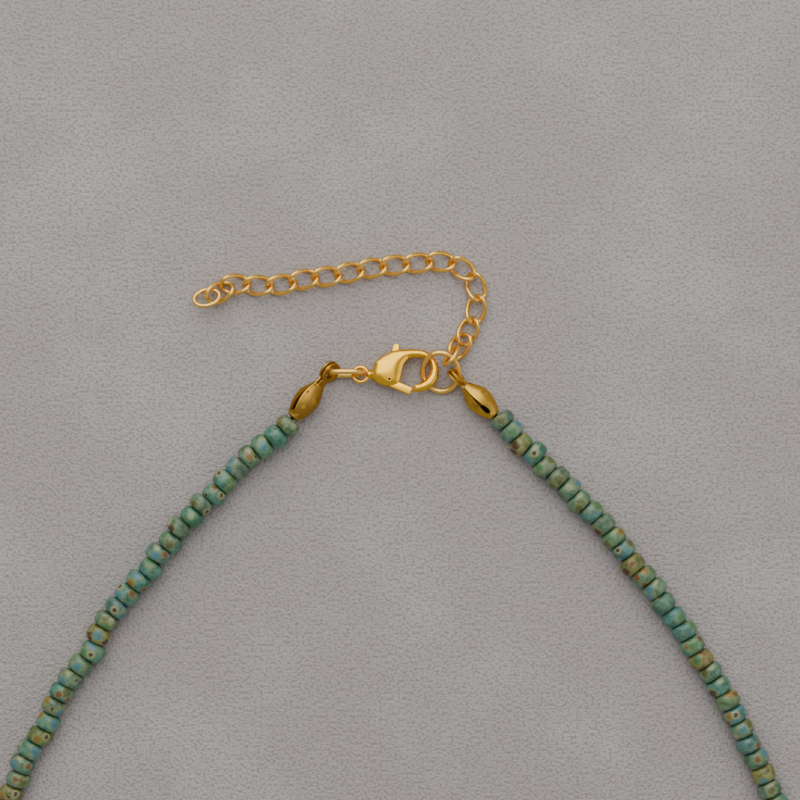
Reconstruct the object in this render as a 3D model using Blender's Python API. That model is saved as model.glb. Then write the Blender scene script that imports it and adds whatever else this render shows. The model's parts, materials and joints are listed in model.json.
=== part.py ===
"""Beaded necklace, lying flat and fastened: seed beads on a thread, two clamshell bead tips,
jump rings, a lobster clasp with its lever, and an extender chain.

Metres, +Z up. +Y runs from the front of the necklace to the extender, and Z = 0 is the surface
that it lies on. Plan positions are first laid out around the clasp, and the last step moves
everything together so that the middle of its footprint is the origin.
"""

import math
from collections import namedtuple

import bmesh
import bpy
import numpy as np
from mathutils import Euler, Matrix, Vector

MM = 0.001

# Beads and their thread
BEAD_RADIUS = 1.535 * MM
BEAD_PITCH = 2.19 * MM
BEAD_BARREL = 0.56  # share of the pitch that has the full radius
GROOVE_RADIUS = 0.95 * MM
STRAND_SOLIDS = 12
STRAND_GAP = 0.1 * MM

# Clasp, in its own frame: origin on the lever's pivot, +X towards the hook, +Z up
CLASP_PIVOT = (-1.41 * MM, 2.65 * MM, 1.65 * MM)
CLASP_ROLL = math.radians(-8)
CLASP_BODY = 8.85 * MM  # from the stem of the eye to the nose of the hook
CHEEK_THICKNESS = 2.2 * MM
HOOK_THICKNESS = 1.2 * MM
CHEEK_ROUNDING = 0.35 * MM
HOOK_ROUNDING = 0.25 * MM
EYE_DIAMETER = 2.5 * MM
EYE_WIRE = 0.55 * MM
EYE_STEM = 0.8 * MM

# Lever
LEVER_THICKNESS = 0.8 * MM
LEVER_CLEARANCE = 0.1 * MM
LEVER_OPENING = math.radians(25)
PIN_RADIUS = 0.3 * MM
PIN_CLEARANCE = 0.05 * MM

# Jump rings: outer length along their own X, outer width along their own Y, wire diameter
SMALL_RING = (5.0 * MM, 3.2 * MM, 0.6 * MM)
SMALL_RING_FULLNESS = 0.3
SMALL_RING_ROLL = math.radians(80)
EYE_PLAY = 0.27 * MM  # from the middle of the eye to the small ring's wire
LARGE_RING = (5.5 * MM, 6.25 * MM, 0.65 * MM)
LARGE_RING_SETBACK = 1.1 * MM  # from the hook's inner wall to the middle of the large ring's wire
LARGE_RING_HEIGHT = 1.59 * MM
LARGE_RING_PITCH = math.radians(-7)
LARGE_RING_ROLL = math.radians(24)

# Extender chain
LINK_LENGTH = 4.2 * MM
LINK_WIDTH = 2.85 * MM
LINK_WIRE = 0.46 * MM
LINK_TWIST = 0.58 * MM  # how far a quarter of the link stands above or below its middle
LINK_PLAY = 0.2 * MM
END_RING = (3.9 * MM, 2.95 * MM, LINK_WIRE)
CHAIN_ON_RING = math.radians(50)  # where the chain hangs on the large ring

# Bead tips, in their own frame: origin where the thread goes in, +X towards the ring
TIP_LENGTH = 4.7 * MM
TIP_DIAMETER = 3.2 * MM
TIP_WALL = 0.35 * MM
TIP_SEAM = 0.25 * MM
TIP_HINGE = 0.75 * MM
THREAD_HOLE = 0.8 * MM
TAB_REACH = 2.0 * MM  # from the cups to the middle of the hole
TAB_DIAMETER = 2.2 * MM
TAB_HOLE = 1.65 * MM
TAB_THICKNESS = 0.3 * MM
TAB_STRAP = 1.0 * MM
TAB_ROOT = 0.9 * MM  # how far a tab is let into its cup
TIP_TO_BEAD = 0.3 * MM
LEFT_TIP = {"heading": math.radians(51), "roll": math.radians(75)}
RIGHT_TIP = {"heading": math.radians(135), "roll": 0.0}
TIP_ON_RING = math.radians(-20)  # where the right tip hangs on the large ring
LEFT_TIP_PLAY = (-0.12 * MM, -0.03 * MM)  # from a ring's wire to the middle of the tip's hole
RIGHT_TIP_PLAY = (-0.06 * MM, 0.06 * MM)

FLOOR_GAP = 0.02 * MM
WELD_DISTANCE = 0.001 * MM

# How finely the round shapes are drawn
LINK_POINTS = 16
LARGE_RING_POINTS = 20
HOLE_POINTS = 12
TAB_POINTS = 13
MARGIN_POINTS = 8
CUP_SEGMENTS = 12
CUP_RINGS = 8
ROUTE_STEPS = 24

# Outlines of the clasp as shares of its body's length. The flat form runs from the stem over the
# back to the hook's tip, and back inside
HOOK_OUTLINE = (
    (-0.266, 0.130), (-0.240, 0.198), (-0.209, 0.277), (-0.098, 0.362), (0.041, 0.434),
    (0.163, 0.462), (0.325, 0.467), (0.463, 0.461), (0.571, 0.429), (0.661, 0.356),
    (0.718, 0.260), (0.734, 0.147), (0.712, 0.028), (0.650, -0.068), (0.554, -0.133),
    (0.452, -0.160), (0.350, -0.158), (0.395, -0.070), (0.463, -0.051), (0.548, 0.002),
    (0.602, 0.079), (0.624, 0.169), (0.602, 0.266), (0.537, 0.328), (0.463, 0.344),
    (0.362, 0.345), (0.294, 0.324), (0.249, 0.282), (0.212, 0.220), (0.190, 0.141),
    (0.172, 0.056), (0.156, -0.011), (0.119, -0.054), (0.056, -0.084), (-0.017, -0.093),
    (-0.096, -0.085), (-0.186, -0.040), (-0.266, 0.034),
)
HOOK_INNER_WALL = 0.624
HOOK_MIDDLE = 0.12
# The thicker cheeks that hold the lever
CHEEK_OUTLINE = (
    (-0.260, 0.124), (-0.234, 0.192), (-0.203, 0.271), (-0.095, 0.350), (0.038, 0.423),
    (0.136, 0.443), (0.198, 0.384), (0.220, 0.294), (0.198, 0.203), (0.179, 0.130),
    (0.164, 0.056), (0.147, -0.009), (0.113, -0.047), (0.054, -0.078), (-0.017, -0.087),
    (-0.094, -0.079), (-0.181, -0.034), (-0.260, 0.040),
)
# The lever, around the pivot: its gate arm and, from the round end at the pivot up, its nub arm
GATE_OUTLINE = (
    (0.339, -0.111), (0.122, -0.023), (0.070, 0.011), (-0.070, 0.011), (-0.054, -0.045),
    (-0.011, -0.070), (0.041, -0.093), (0.292, -0.194),
)
NUB_OUTLINE = (
    (0.070, 0.011), (0.075, 0.102), (0.154, 0.549), (0.124, 0.563), (0.075, 0.563),
    (0.047, 0.549), (-0.047, 0.102), (-0.070, 0.011),
)
EYE_CENTRE = (-0.435, 0.087)

# Chosen points of the bead strand, in mm: down the left side, around the front, up the right side
STRAND_ROUTE = (
    (-17.37, -5.29), (-21.20, -8.27), (-24.47, -11.87), (-27.80, -15.40), (-30.93, -19.07),
    (-33.73, -22.93), (-36.93, -26.53), (-39.47, -30.13), (-41.60, -34.00), (-44.27, -37.47),
    (-46.40, -41.33), (-48.80, -45.73), (-51.00, -50.00), (-52.27, -53.33), (-55.80, -64.00),
    (-57.80, -76.00), (-57.60, -89.00), (-54.90, -102.50), (-49.40, -116.00), (-41.20, -128.50),
    (-30.60, -138.80), (-17.60, -145.90), (-1.20, -148.60), (15.20, -145.90), (28.20, -138.80),
    (38.80, -128.50), (47.00, -116.00), (52.50, -102.50), (55.20, -89.00), (55.40, -76.00),
    (53.40, -64.00), (49.73, -52.93), (48.27, -49.47), (46.27, -45.60), (44.40, -41.60),
    (42.13, -37.60), (39.60, -33.73), (37.20, -29.87), (34.60, -26.40), (31.73, -22.67),
    (28.73, -18.80), (26.00, -15.33), (22.60, -11.87), (19.13, -8.53), (15.60, -5.07),
)
# Chosen points of the extender, in pitches of the chain, from where it hangs on the large ring
EXTENDER_ROUTE = (
    (0.000, 0.000), (0.341, 0.487), (0.711, 1.133), (1.065, 2.101), (1.052, 3.088),
    (0.523, 3.815), (-0.380, 4.149), (-1.354, 4.107), (-3.386, 3.886), (-5.393, 3.513),
    (-6.399, 3.386), (-7.373, 3.166), (-8.377, 3.123), (-9.383, 3.149),
)
FIRST_FLAT_LINK = 1.34  # pitches of the chain from the ring to the first link that lies flat
FLAT_LINKS = 13

# Links and rings that lean on their neighbours. Places are in pitches of the chain from the point
# that each group starts at, heights from that of a flat link, and angles in degrees
Leaning = namedtuple("Leaning", "name kind x y height heading pitch roll")
AT_THE_RING = (
    Leaning("connector", "connector", -0.049, 0.010, 0.430, 61.6, 34.6, 110.8),
    Leaning("link_01", "link", 0.341, 0.487, 0.036, 55.4, 7.2, 3.2),
)
AT_THE_FREE_END = (
    Leaning("link_15", "link", -1.000, 0.058, 0.049, 182.6, -4.8, 0.5),
    Leaning("link_16", "link", -1.672, -0.292, 0.071, 206.7, -5.0, 2.6),
    Leaning("end_ring", "end_ring", -2.221, -0.536, 0.244, 195.7, -7.9, 29.4),
)


ALONG_X = Matrix.Rotation(math.pi / 2, 4, "Y")  # turns a shape's Z axis onto X


def clear_scene():
    for found in list(bpy.data.objects):
        bpy.data.objects.remove(found, do_unlink=True)


def new_collection(name, hidden=False):
    made = bpy.data.collections.new(name)
    bpy.context.scene.collection.children.link(made)
    made.hide_render = hidden
    return made


def finish(name, colour, metallic, roughness):
    made = bpy.data.materials.new(name)
    made.use_nodes = True
    shader = made.node_tree.nodes["Principled BSDF"]
    shader.inputs["Base Color"].default_value = (*colour, 1)
    shader.inputs["Metallic"].default_value = metallic
    shader.inputs["Roughness"].default_value = roughness
    return made


def add(name, data, material, parent, collection):
    made = bpy.data.objects.new(name, data)
    collection.objects.link(made)
    made.parent = parent
    if material:
        data.materials.clear()
        data.materials.append(material)
    return made


def add_cutter(name, data):
    made = add(name, data, None, None, CUTTERS)
    made.hide_render = True
    made.display_type = "WIRE"
    return made


def wire_curve(name, points, diameter, cyclic=True, widths=None, resolution=1):
    """A round wire or turned rope along the points. widths holds each point's share of the diameter."""
    curve = bpy.data.curves.new(name, "CURVE")
    curve.dimensions = "3D"
    curve.bevel_depth = diameter / 2
    curve.bevel_resolution = resolution
    curve.use_fill_caps = not cyclic
    curve.twist_mode = "MINIMUM" if cyclic else "Z_UP"
    spline = curve.splines.new("POLY")
    spline.points.add(len(points) - 1)
    for i, point in enumerate(points):
        spline.points[i].co = (*point, 1)
        spline.points[i].radius = widths[i] if widths else 1
    spline.use_cyclic_u = cyclic
    return curve


def fuller(value, fullness):
    """The value pushed towards 1 or -1; a fullness of 0 leaves it."""
    return math.copysign(abs(value) ** (1 - fullness), value)


def oval(length, width, wire, twist=0.0, fullness=0.0, count=LINK_POINTS):
    """Middle line of a ring of these outer sizes.

    A twist lifts and lowers its quarters, and a fullness squares its ends.
    """
    turns = [2 * math.pi * (i + 0.5) / count for i in range(count)]
    a, b = (length - wire) / 2, (width - wire) / 2
    return [
        (a * fuller(math.cos(t), fullness), b * fuller(math.sin(t), fullness), -twist * math.sin(2 * t))
        for t in turns
    ]


def circle(radius, middle=(0.0, 0.0), count=HOLE_POINTS):
    turns = [2 * math.pi * i / count for i in range(count)]
    return [(middle[0] + radius * math.cos(t), middle[1] + radius * math.sin(t)) for t in turns]


def slab(name, outlines, thickness, rounding=0.0):
    """Mesh of a flat piece: the first outline is its edge and the others are holes."""
    curve = bpy.data.curves.new(name, "CURVE")
    curve.dimensions = "2D"
    curve.fill_mode = "BOTH"
    curve.extrude = thickness / 2 - rounding
    curve.bevel_depth = rounding
    curve.bevel_resolution = 0
    curve.offset = -rounding
    for outline in outlines:
        spline = curve.splines.new("POLY")
        spline.points.add(len(outline) - 1)
        for point, place in zip(spline.points, outline):
            point.co = (*place, 0, 1)
        spline.use_cyclic_u = True
    return mesh_of(curve)


def mesh_of(curve):
    """The curve's surface as a welded mesh."""
    holder = bpy.data.objects.new(curve.name, curve)
    CUTTERS.objects.link(holder)
    graph = bpy.context.evaluated_depsgraph_get()
    mesh = bpy.data.meshes.new_from_object(holder.evaluated_get(graph))
    bpy.data.objects.remove(holder)
    weld(mesh)
    return mesh


def weld(mesh):
    work = bmesh.new()
    work.from_mesh(mesh)
    bmesh.ops.remove_doubles(work, verts=work.verts, dist=WELD_DISTANCE)
    bmesh.ops.recalc_face_normals(work, faces=work.faces)
    work.to_mesh(mesh)
    work.free()


def in_mm(outline):
    return [(x * MM, y * MM) for x, y in outline]


def of_body(outline):
    return [(x * CLASP_BODY, y * CLASP_BODY) for x, y in outline]


def solid_mesh(name, make, matrix, **sizes):
    """Mesh of one bmesh primitive after a matrix."""
    mesh = bpy.data.meshes.new(name)
    work = bmesh.new()
    make(work, matrix=matrix, **sizes)
    work.to_mesh(mesh)
    work.free()
    return mesh


def cylinder(name, radius, length, matrix=Matrix.Identity(4)):
    return solid_mesh(
        name, bmesh.ops.create_cone, matrix, cap_ends=True, segments=HOLE_POINTS,
        radius1=radius, radius2=radius, depth=length,
    )


def egg(name, sizes, middle):
    """An ellipsoid of these outer sizes with its poles along X."""
    stretch = Matrix.Diagonal((*(size / 2 for size in sizes), 1))
    matrix = Matrix.Translation(middle) @ stretch @ ALONG_X
    return solid_mesh(
        name, bmesh.ops.create_uvsphere, matrix, u_segments=CUP_SEGMENTS, v_segments=CUP_RINGS, radius=1
    )


def swept_space(name, outline, opening, thickness, margin):
    """The space that a flat arm sweeps as it turns by the opening, grown by the margin."""
    mesh = bpy.data.meshes.new(name)
    work = bmesh.new()
    for turned in (Matrix.Rotation(0, 2), Matrix.Rotation(opening, 2)):
        for point in outline:
            for corner in circle(margin, turned @ Vector(point), MARGIN_POINTS):
                for side in (-thickness / 2, thickness / 2):
                    work.verts.new((*corner, side))
    hull = bmesh.ops.convex_hull(work, input=work.verts)
    bmesh.ops.delete(work, geom=hull["geom_interior"], context="VERTS")
    bmesh.ops.recalc_face_normals(work, faces=work.faces)
    work.to_mesh(mesh)
    work.free()
    return mesh


def box(name, low, high):
    middle = [(a + b) / 2 for a, b in zip(low, high)]
    sides = [b - a for a, b in zip(low, high)]
    matrix = Matrix.Translation(middle) @ Matrix.Diagonal((*sides, 1))
    return solid_mesh(name, bmesh.ops.create_cube, matrix, size=1)


def combine(target, operation, mesh, parent):
    """Adds a Boolean of the mesh, which lies in the parent's frame, to the target."""
    other = add_cutter(f"{target.name}_{mesh.name}", mesh)
    other.parent = parent
    modifier = target.modifiers.new(mesh.name, "BOOLEAN")
    modifier.object = other
    modifier.operation = operation
    modifier.solver = "EXACT"


def smooth_route(points):
    """Fine points on the natural cubic spline through the chosen points, by chord length."""
    chosen = np.array(points)
    knots = np.concatenate([[0], np.cumsum(np.linalg.norm(np.diff(chosen, axis=0), axis=1))])
    count, spans = len(knots), np.diff(knots)
    system, right = np.eye(count), np.zeros_like(chosen)
    for i in range(1, count - 1):
        system[i, i - 1 : i + 2] = spans[i - 1], 2 * (spans[i - 1] + spans[i]), spans[i]
        slopes = (chosen[i + 1] - chosen[i]) / spans[i] - (chosen[i] - chosen[i - 1]) / spans[i - 1]
        right[i] = 6 * slopes
    bends = np.linalg.solve(system, right)
    fine = []
    for i, span in enumerate(spans):
        for t in np.arange(ROUTE_STEPS) / ROUTE_STEPS * span:
            u = span - t
            ends = (bends[i] * u**3 + bends[i + 1] * t**3) / (6 * span)
            start = (chosen[i] / span - bends[i] * span / 6) * u
            stop = (chosen[i + 1] / span - bends[i + 1] * span / 6) * t
            fine.append(ends + start + stop)
    fine.append(chosen[-1])
    return np.array(fine)


def walk(route, distances):
    """(place, heading) on the route at each distance along it."""
    travelled = np.concatenate([[0], np.cumsum(np.linalg.norm(np.diff(route, axis=0), axis=1))])
    found = []
    for distance in distances:
        i = int(np.clip(np.searchsorted(travelled, distance, "right") - 1, 0, len(route) - 2))
        share = (distance - travelled[i]) / (travelled[i + 1] - travelled[i])
        step = route[i + 1] - route[i]
        found.append((route[i] + share * step, math.atan2(step[1], step[0])))
    return found


def route_length(route):
    return float(np.linalg.norm(np.diff(route, axis=0), axis=1).sum())


def add_ring(name, wire, place, heading, pitch=0.0, roll=0.0):
    ring = add(name, wire, GOLD, ROOT, NECKLACE)
    ring.location = place
    ring.rotation_euler = (roll, pitch, heading)


def on_large_ring(turn):
    """A point on the middle of the large ring's wire; turn 0 is its right side."""
    length, width, wire = LARGE_RING
    flat = Vector(((length - wire) / 2 * math.cos(turn), (width - wire) / 2 * math.sin(turn), 0))
    flat.rotate(Euler((LARGE_RING_ROLL, LARGE_RING_PITCH, 0)))
    return large_ring_middle() + flat


def large_ring_middle():
    left_wire = CLASP_PIVOT[0] + HOOK_INNER_WALL * CLASP_BODY - LARGE_RING_SETBACK
    middle_x = left_wire + (LARGE_RING[0] - LARGE_RING[2]) / 2
    return Vector((middle_x, CLASP_PIVOT[1] + HOOK_MIDDLE * CLASP_BODY, LARGE_RING_HEIGHT))


def small_ring_middle():
    length, width, wire = SMALL_RING
    eye_x, eye_y = (CLASP_PIVOT[i] + EYE_CENTRE[i] * CLASP_BODY for i in (0, 1))
    middle_x = eye_x + EYE_PLAY - (length - wire) / 2
    return Vector((middle_x, eye_y + EYE_PLAY / 2, width / 2 + FLOOR_GAP))


def make_extender():
    """The curb chain: flat links along the route, leaning ones at both ends, and the end ring."""
    shapes = {
        "link": oval(LINK_LENGTH, LINK_WIDTH, LINK_WIRE, LINK_TWIST),
        "connector": oval(LINK_LENGTH, LINK_WIDTH, LINK_WIRE),
        "end_ring": oval(*END_RING),
    }
    wires = {kind: wire_curve(f"{kind}_wire", shape, LINK_WIRE) for kind, shape in shapes.items()}
    chain_pitch = LINK_LENGTH - 2 * LINK_WIRE - LINK_PLAY
    flat_height = LINK_TWIST + LINK_WIRE / 2 + FLOOR_GAP
    ring = on_large_ring(CHAIN_ON_RING)
    route = smooth_route([(ring.x + x * chain_pitch, ring.y + y * chain_pitch) for x, y in EXTENDER_ROUTE])
    distances = [(FIRST_FLAT_LINK + i) * chain_pitch for i in range(FLAT_LINKS)]
    flat = walk(route, distances)
    for i, (place, heading) in enumerate(flat):
        add_ring(f"extender_link_{i + 2:02d}", wires["link"], (*place, flat_height), heading)
    last_flat = flat[-1][0]
    for start, group in ((ring.xy, AT_THE_RING), (last_flat, AT_THE_FREE_END)):
        for row in group:
            x, y = start[0] + row.x * chain_pitch, start[1] + row.y * chain_pitch
            place = (x, y, flat_height + row.height * chain_pitch)
            turns = [math.radians(angle) for angle in (row.heading, row.pitch, row.roll)]
            add_ring(f"extender_{row.name}", wires[row.kind], place, *turns)


def make_jump_rings():
    """The large ring leans through the hook, and the small one stands on edge in the clasp's eye."""
    shape = oval(*LARGE_RING, count=LARGE_RING_POINTS)
    large = wire_curve("large_ring_wire", shape, LARGE_RING[2])
    add_ring("large_jump_ring", large, large_ring_middle(), 0.0, LARGE_RING_PITCH, LARGE_RING_ROLL)
    shape = oval(*SMALL_RING, fullness=SMALL_RING_FULLNESS)
    small = wire_curve("small_ring_wire", shape, SMALL_RING[2])
    add_ring("small_jump_ring", small, small_ring_middle(), 0.0, roll=SMALL_RING_ROLL)


def make_clasp():
    """The lobster clasp's body, lever and pin around the lever's pivot."""
    pivot = bpy.data.objects.new("clasp_pivot", None)
    NECKLACE.objects.link(pivot)
    pivot.parent = ROOT
    pivot.location = CLASP_PIVOT
    pivot.rotation_euler = (CLASP_ROLL, 0, 0)

    hook = slab("clasp_body", [of_body(HOOK_OUTLINE)], HOOK_THICKNESS, HOOK_ROUNDING)
    body = add("clasp_body", hook, GOLD, pivot, NECKLACE)
    cheeks = slab("cheeks", [of_body(CHEEK_OUTLINE)], CHEEK_THICKNESS, CHEEK_ROUNDING)
    combine(body, "UNION", cheeks, pivot)
    eye_x, eye_y = (share * CLASP_BODY for share in EYE_CENTRE)
    half = EYE_STEM / 2
    low = (eye_x + EYE_DIAMETER / 2 - EYE_WIRE, eye_y - half, -half)
    high = (HOOK_OUTLINE[0][0] * CLASP_BODY + half, eye_y + half, half)
    combine(body, "UNION", box("stem", low, high), pivot)
    eye = mesh_of(wire_curve("eye", oval(EYE_DIAMETER, EYE_DIAMETER, EYE_WIRE), EYE_WIRE))
    eye.transform(Matrix.Translation((eye_x, eye_y, 0)))
    combine(body, "UNION", eye, pivot)
    slot_thickness = LEVER_THICKNESS + 2 * LEVER_CLEARANCE
    for name, outline in (("gate_slot", GATE_OUTLINE), ("nub_slot", NUB_OUTLINE)):
        swept = swept_space(name, of_body(outline), LEVER_OPENING, slot_thickness, LEVER_CLEARANCE)
        combine(body, "DIFFERENCE", swept, pivot)
    hole = cylinder("pin_hole", PIN_RADIUS + PIN_CLEARANCE, 2 * CHEEK_THICKNESS)
    combine(body, "DIFFERENCE", hole, pivot)

    outline = of_body(GATE_OUTLINE[:3] + NUB_OUTLINE[1:] + GATE_OUTLINE[4:])
    lever = slab("clasp_lever", [outline, circle(PIN_RADIUS + PIN_CLEARANCE)], LEVER_THICKNESS)
    add("clasp_lever", lever, GOLD, pivot, NECKLACE)
    add("clasp_pin", cylinder("clasp_pin", PIN_RADIUS, CHEEK_THICKNESS), GOLD, pivot, NECKLACE)


def make_bead_tip(name, wire_at, play, heading, roll):
    """A clamshell: two hinged cups around the knot, each with a tab, whose holes take the ring.

    Returns the point where the strand starts.
    """
    hole_at = Vector((wire_at.x + play[0], wire_at.y + play[1], TIP_DIAMETER / 2 + FLOOR_GAP))
    frame = bpy.data.objects.new(f"{name}_frame", None)
    NECKLACE.objects.link(frame)
    frame.parent = ROOT
    frame.rotation_euler = (roll, 0, heading)
    reach = TIP_LENGTH + TAB_REACH
    along = Vector((math.cos(heading), math.sin(heading), 0))
    frame.location = hole_at - reach * along

    middle = (TIP_LENGTH / 2, 0, 0)
    cups = egg(name, (TIP_LENGTH, TIP_DIAMETER, TIP_DIAMETER), middle)
    tip = add(name, cups, OLD_GOLD, frame, NECKLACE)
    inner = TIP_DIAMETER - 2 * TIP_WALL
    combine(tip, "DIFFERENCE", egg("hollow", (TIP_LENGTH - 2 * TIP_HINGE, inner, inner), middle), frame)
    seam = box("seam", (TIP_HINGE, -TIP_SEAM / 2, -TIP_DIAMETER), (reach, TIP_SEAM / 2, TIP_DIAMETER))
    combine(tip, "DIFFERENCE", seam, frame)
    thread = cylinder("thread_hole", THREAD_HOLE / 2, 2 * TIP_HINGE + TIP_WALL, ALONG_X)
    combine(tip, "DIFFERENCE", thread, frame)
    strap, radius = TAB_STRAP / 2, TAB_DIAMETER / 2
    start = math.asin(strap / radius)
    turns = np.linspace(-math.pi + start, math.pi - start, TAB_POINTS)
    edge = [(reach + radius * math.cos(t), radius * math.sin(t)) for t in turns]
    edge += [(TIP_LENGTH - TAB_ROOT, strap), (TIP_LENGTH - TAB_ROOT, -strap)]
    hole = circle(TAB_HOLE / 2, (reach, 0))
    upright = Matrix.Rotation(math.pi / 2, 4, "X")
    offset = (TIP_SEAM + TAB_THICKNESS) / 2
    for side, shift in (("back", -offset), ("front", offset)):
        tab = slab(f"tab_{side}", [edge, hole], TAB_THICKNESS)
        tab.transform(Matrix.Translation((0, shift, 0)) @ upright)
        combine(tip, "UNION", tab, frame)
    return hole_at - (reach + TIP_TO_BEAD) * along


def make_strand(left_end, right_end):
    """The string of beads in a few solids, each a rope that swells at every bead."""
    points = [(left_end.x, left_end.y), *in_mm(STRAND_ROUTE), (right_end.x, right_end.y)]
    route = smooth_route(points)
    length = route_length(route)
    beads = round(length / BEAD_PITCH)
    pitch = length / beads
    shoulder = (1 - BEAD_BARREL) / 2
    first = 0
    for solid in range(STRAND_SOLIDS):
        last = round(beads * (solid + 1) / STRAND_SOLIDS)
        marks, widths = [first * pitch + STRAND_GAP / 2], [GROOVE_RADIUS / BEAD_RADIUS]
        for bead in range(first, last):
            marks += [(bead + shoulder) * pitch, (bead + 1 - shoulder) * pitch, (bead + 1) * pitch]
            widths += [1, 1, GROOVE_RADIUS / BEAD_RADIUS]
        marks[-1] -= STRAND_GAP / 2
        places = [(*place, BEAD_RADIUS + FLOOR_GAP) for place, _ in walk(route, marks)]
        name = f"bead_strand_{solid + 1:02d}"
        rope = wire_curve(name, places, 2 * BEAD_RADIUS, cyclic=False, widths=widths, resolution=2)
        add(name, rope, GLASS, ROOT, NECKLACE)
        first = last


def centre_on_floor():
    """Moves the whole necklace so that its box stands on the origin, the middle of its footprint."""
    bpy.context.view_layer.update()
    graph = bpy.context.evaluated_depsgraph_get()
    corners = []
    for found in NECKLACE.objects:
        if found.type != "EMPTY":
            evaluated = found.evaluated_get(graph)
            mesh = evaluated.to_mesh()
            spots = np.empty(len(mesh.vertices) * 3, np.float32)
            mesh.vertices.foreach_get("co", spots)
            world = np.array(evaluated.matrix_world)
            spots = spots.reshape(-1, 3) @ world[:3, :3].T + world[:3, 3]
            corners += [spots.min(axis=0), spots.max(axis=0)]
            evaluated.to_mesh_clear()
    low, high = np.min(corners, axis=0), np.max(corners, axis=0)
    ROOT.location = (-(low[0] + high[0]) / 2, -(low[1] + high[1]) / 2, -low[2])
    bpy.context.view_layer.update()


clear_scene()
NECKLACE = new_collection("beaded_necklace")
CUTTERS = new_collection("cutters", hidden=True)
GLASS = finish("turquoise_glass", (0.13, 0.37, 0.31), 0.0, 0.35)
GOLD = finish("gold_plate", (0.83, 0.56, 0.16), 1.0, 0.2)
OLD_GOLD = finish("old_gold_plate", (0.62, 0.38, 0.10), 1.0, 0.35)
ROOT = bpy.data.objects.new("necklace_frame", None)
NECKLACE.objects.link(ROOT)
make_clasp()
make_jump_rings()
make_extender()
LEFT_WIRE = small_ring_middle() - Vector(((SMALL_RING[0] - SMALL_RING[2]) / 2, 0, 0))
LEFT_END = make_bead_tip("bead_tip_left", LEFT_WIRE, LEFT_TIP_PLAY, **LEFT_TIP)
RIGHT_END = make_bead_tip("bead_tip_right", on_large_ring(TIP_ON_RING), RIGHT_TIP_PLAY, **RIGHT_TIP)
make_strand(LEFT_END, RIGHT_END)
centre_on_floor()
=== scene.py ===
"""Looks of a beaded necklace that lies flat: glazed glass beads on a cord, clamshell bead tips,
a gold lobster clasp on its jump ring, and a curb extender chain.

Metres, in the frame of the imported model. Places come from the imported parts, and sizes are named.
"""

import json
import logging
import math
import random
from collections.abc import Sequence
from dataclasses import dataclass
from enum import Enum

import bmesh
import bpy
import numpy as np
from mathutils import Matrix, Vector


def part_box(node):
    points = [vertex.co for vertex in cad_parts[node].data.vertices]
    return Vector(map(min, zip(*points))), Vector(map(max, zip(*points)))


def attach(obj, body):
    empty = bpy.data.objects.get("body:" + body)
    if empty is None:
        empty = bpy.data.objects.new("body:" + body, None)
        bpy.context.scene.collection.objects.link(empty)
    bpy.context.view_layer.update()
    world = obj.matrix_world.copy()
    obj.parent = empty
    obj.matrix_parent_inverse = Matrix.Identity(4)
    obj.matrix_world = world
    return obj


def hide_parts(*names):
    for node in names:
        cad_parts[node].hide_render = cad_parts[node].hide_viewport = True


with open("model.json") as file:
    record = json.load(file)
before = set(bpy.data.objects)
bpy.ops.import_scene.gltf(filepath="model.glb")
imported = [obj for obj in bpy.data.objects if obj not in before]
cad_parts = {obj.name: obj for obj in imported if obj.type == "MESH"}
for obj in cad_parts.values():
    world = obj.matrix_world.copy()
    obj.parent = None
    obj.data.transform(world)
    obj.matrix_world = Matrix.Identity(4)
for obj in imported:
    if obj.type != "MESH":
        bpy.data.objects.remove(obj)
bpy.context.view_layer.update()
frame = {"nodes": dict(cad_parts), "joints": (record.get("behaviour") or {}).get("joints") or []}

LOG = logging.getLogger("necklace")
MM = 0.001

Colour = tuple[float, float, float]
NECKLACE_BODY = "necklace"
LEVER_BODY = "lever"

# The photograph: its width in pixels, its scale, and where its middle lies from the clasp's pin
PHOTO_PIXELS = 800
PIXELS_PER_MM = 7.5
PHOTO_MIDDLE_FROM_PIN = Vector((1.41 * MM, -2.65 * MM, 0))


# Shader graphs


class Signal:
    """A shader output that Python operators work on."""

    def __init__(self, graph: "Graph", socket: bpy.types.NodeSocket) -> None:
        """Keeps the graph and the socket."""
        self.graph = graph
        self.socket = socket

    def _math(self, operation: str, first: "Signal | float", second: "Signal | float") -> "Signal":
        """Adds a Math node and returns its output."""
        return self.graph.node("ShaderNodeMath", {"operation": operation}, {0: first, 1: second})

    def __add__(self, other: "Signal | float") -> "Signal":
        """self + other."""
        return self._math("ADD", self, other)

    def __radd__(self, other: float) -> "Signal":
        """other + self."""
        return self._math("ADD", other, self)

    def __sub__(self, other: "Signal | float") -> "Signal":
        """self - other."""
        return self._math("SUBTRACT", self, other)

    def __rsub__(self, other: float) -> "Signal":
        """other - self."""
        return self._math("SUBTRACT", other, self)

    def __mul__(self, other: "Signal | float") -> "Signal":
        """self * other."""
        return self._math("MULTIPLY", self, other)

    def __rmul__(self, other: float) -> "Signal":
        """other * self."""
        return self._math("MULTIPLY", other, self)

    def __truediv__(self, other: "Signal | float") -> "Signal":
        """self / other."""
        return self._math("DIVIDE", self, other)

    def __rtruediv__(self, other: float) -> "Signal":
        """other / self."""
        return self._math("DIVIDE", other, self)


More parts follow.
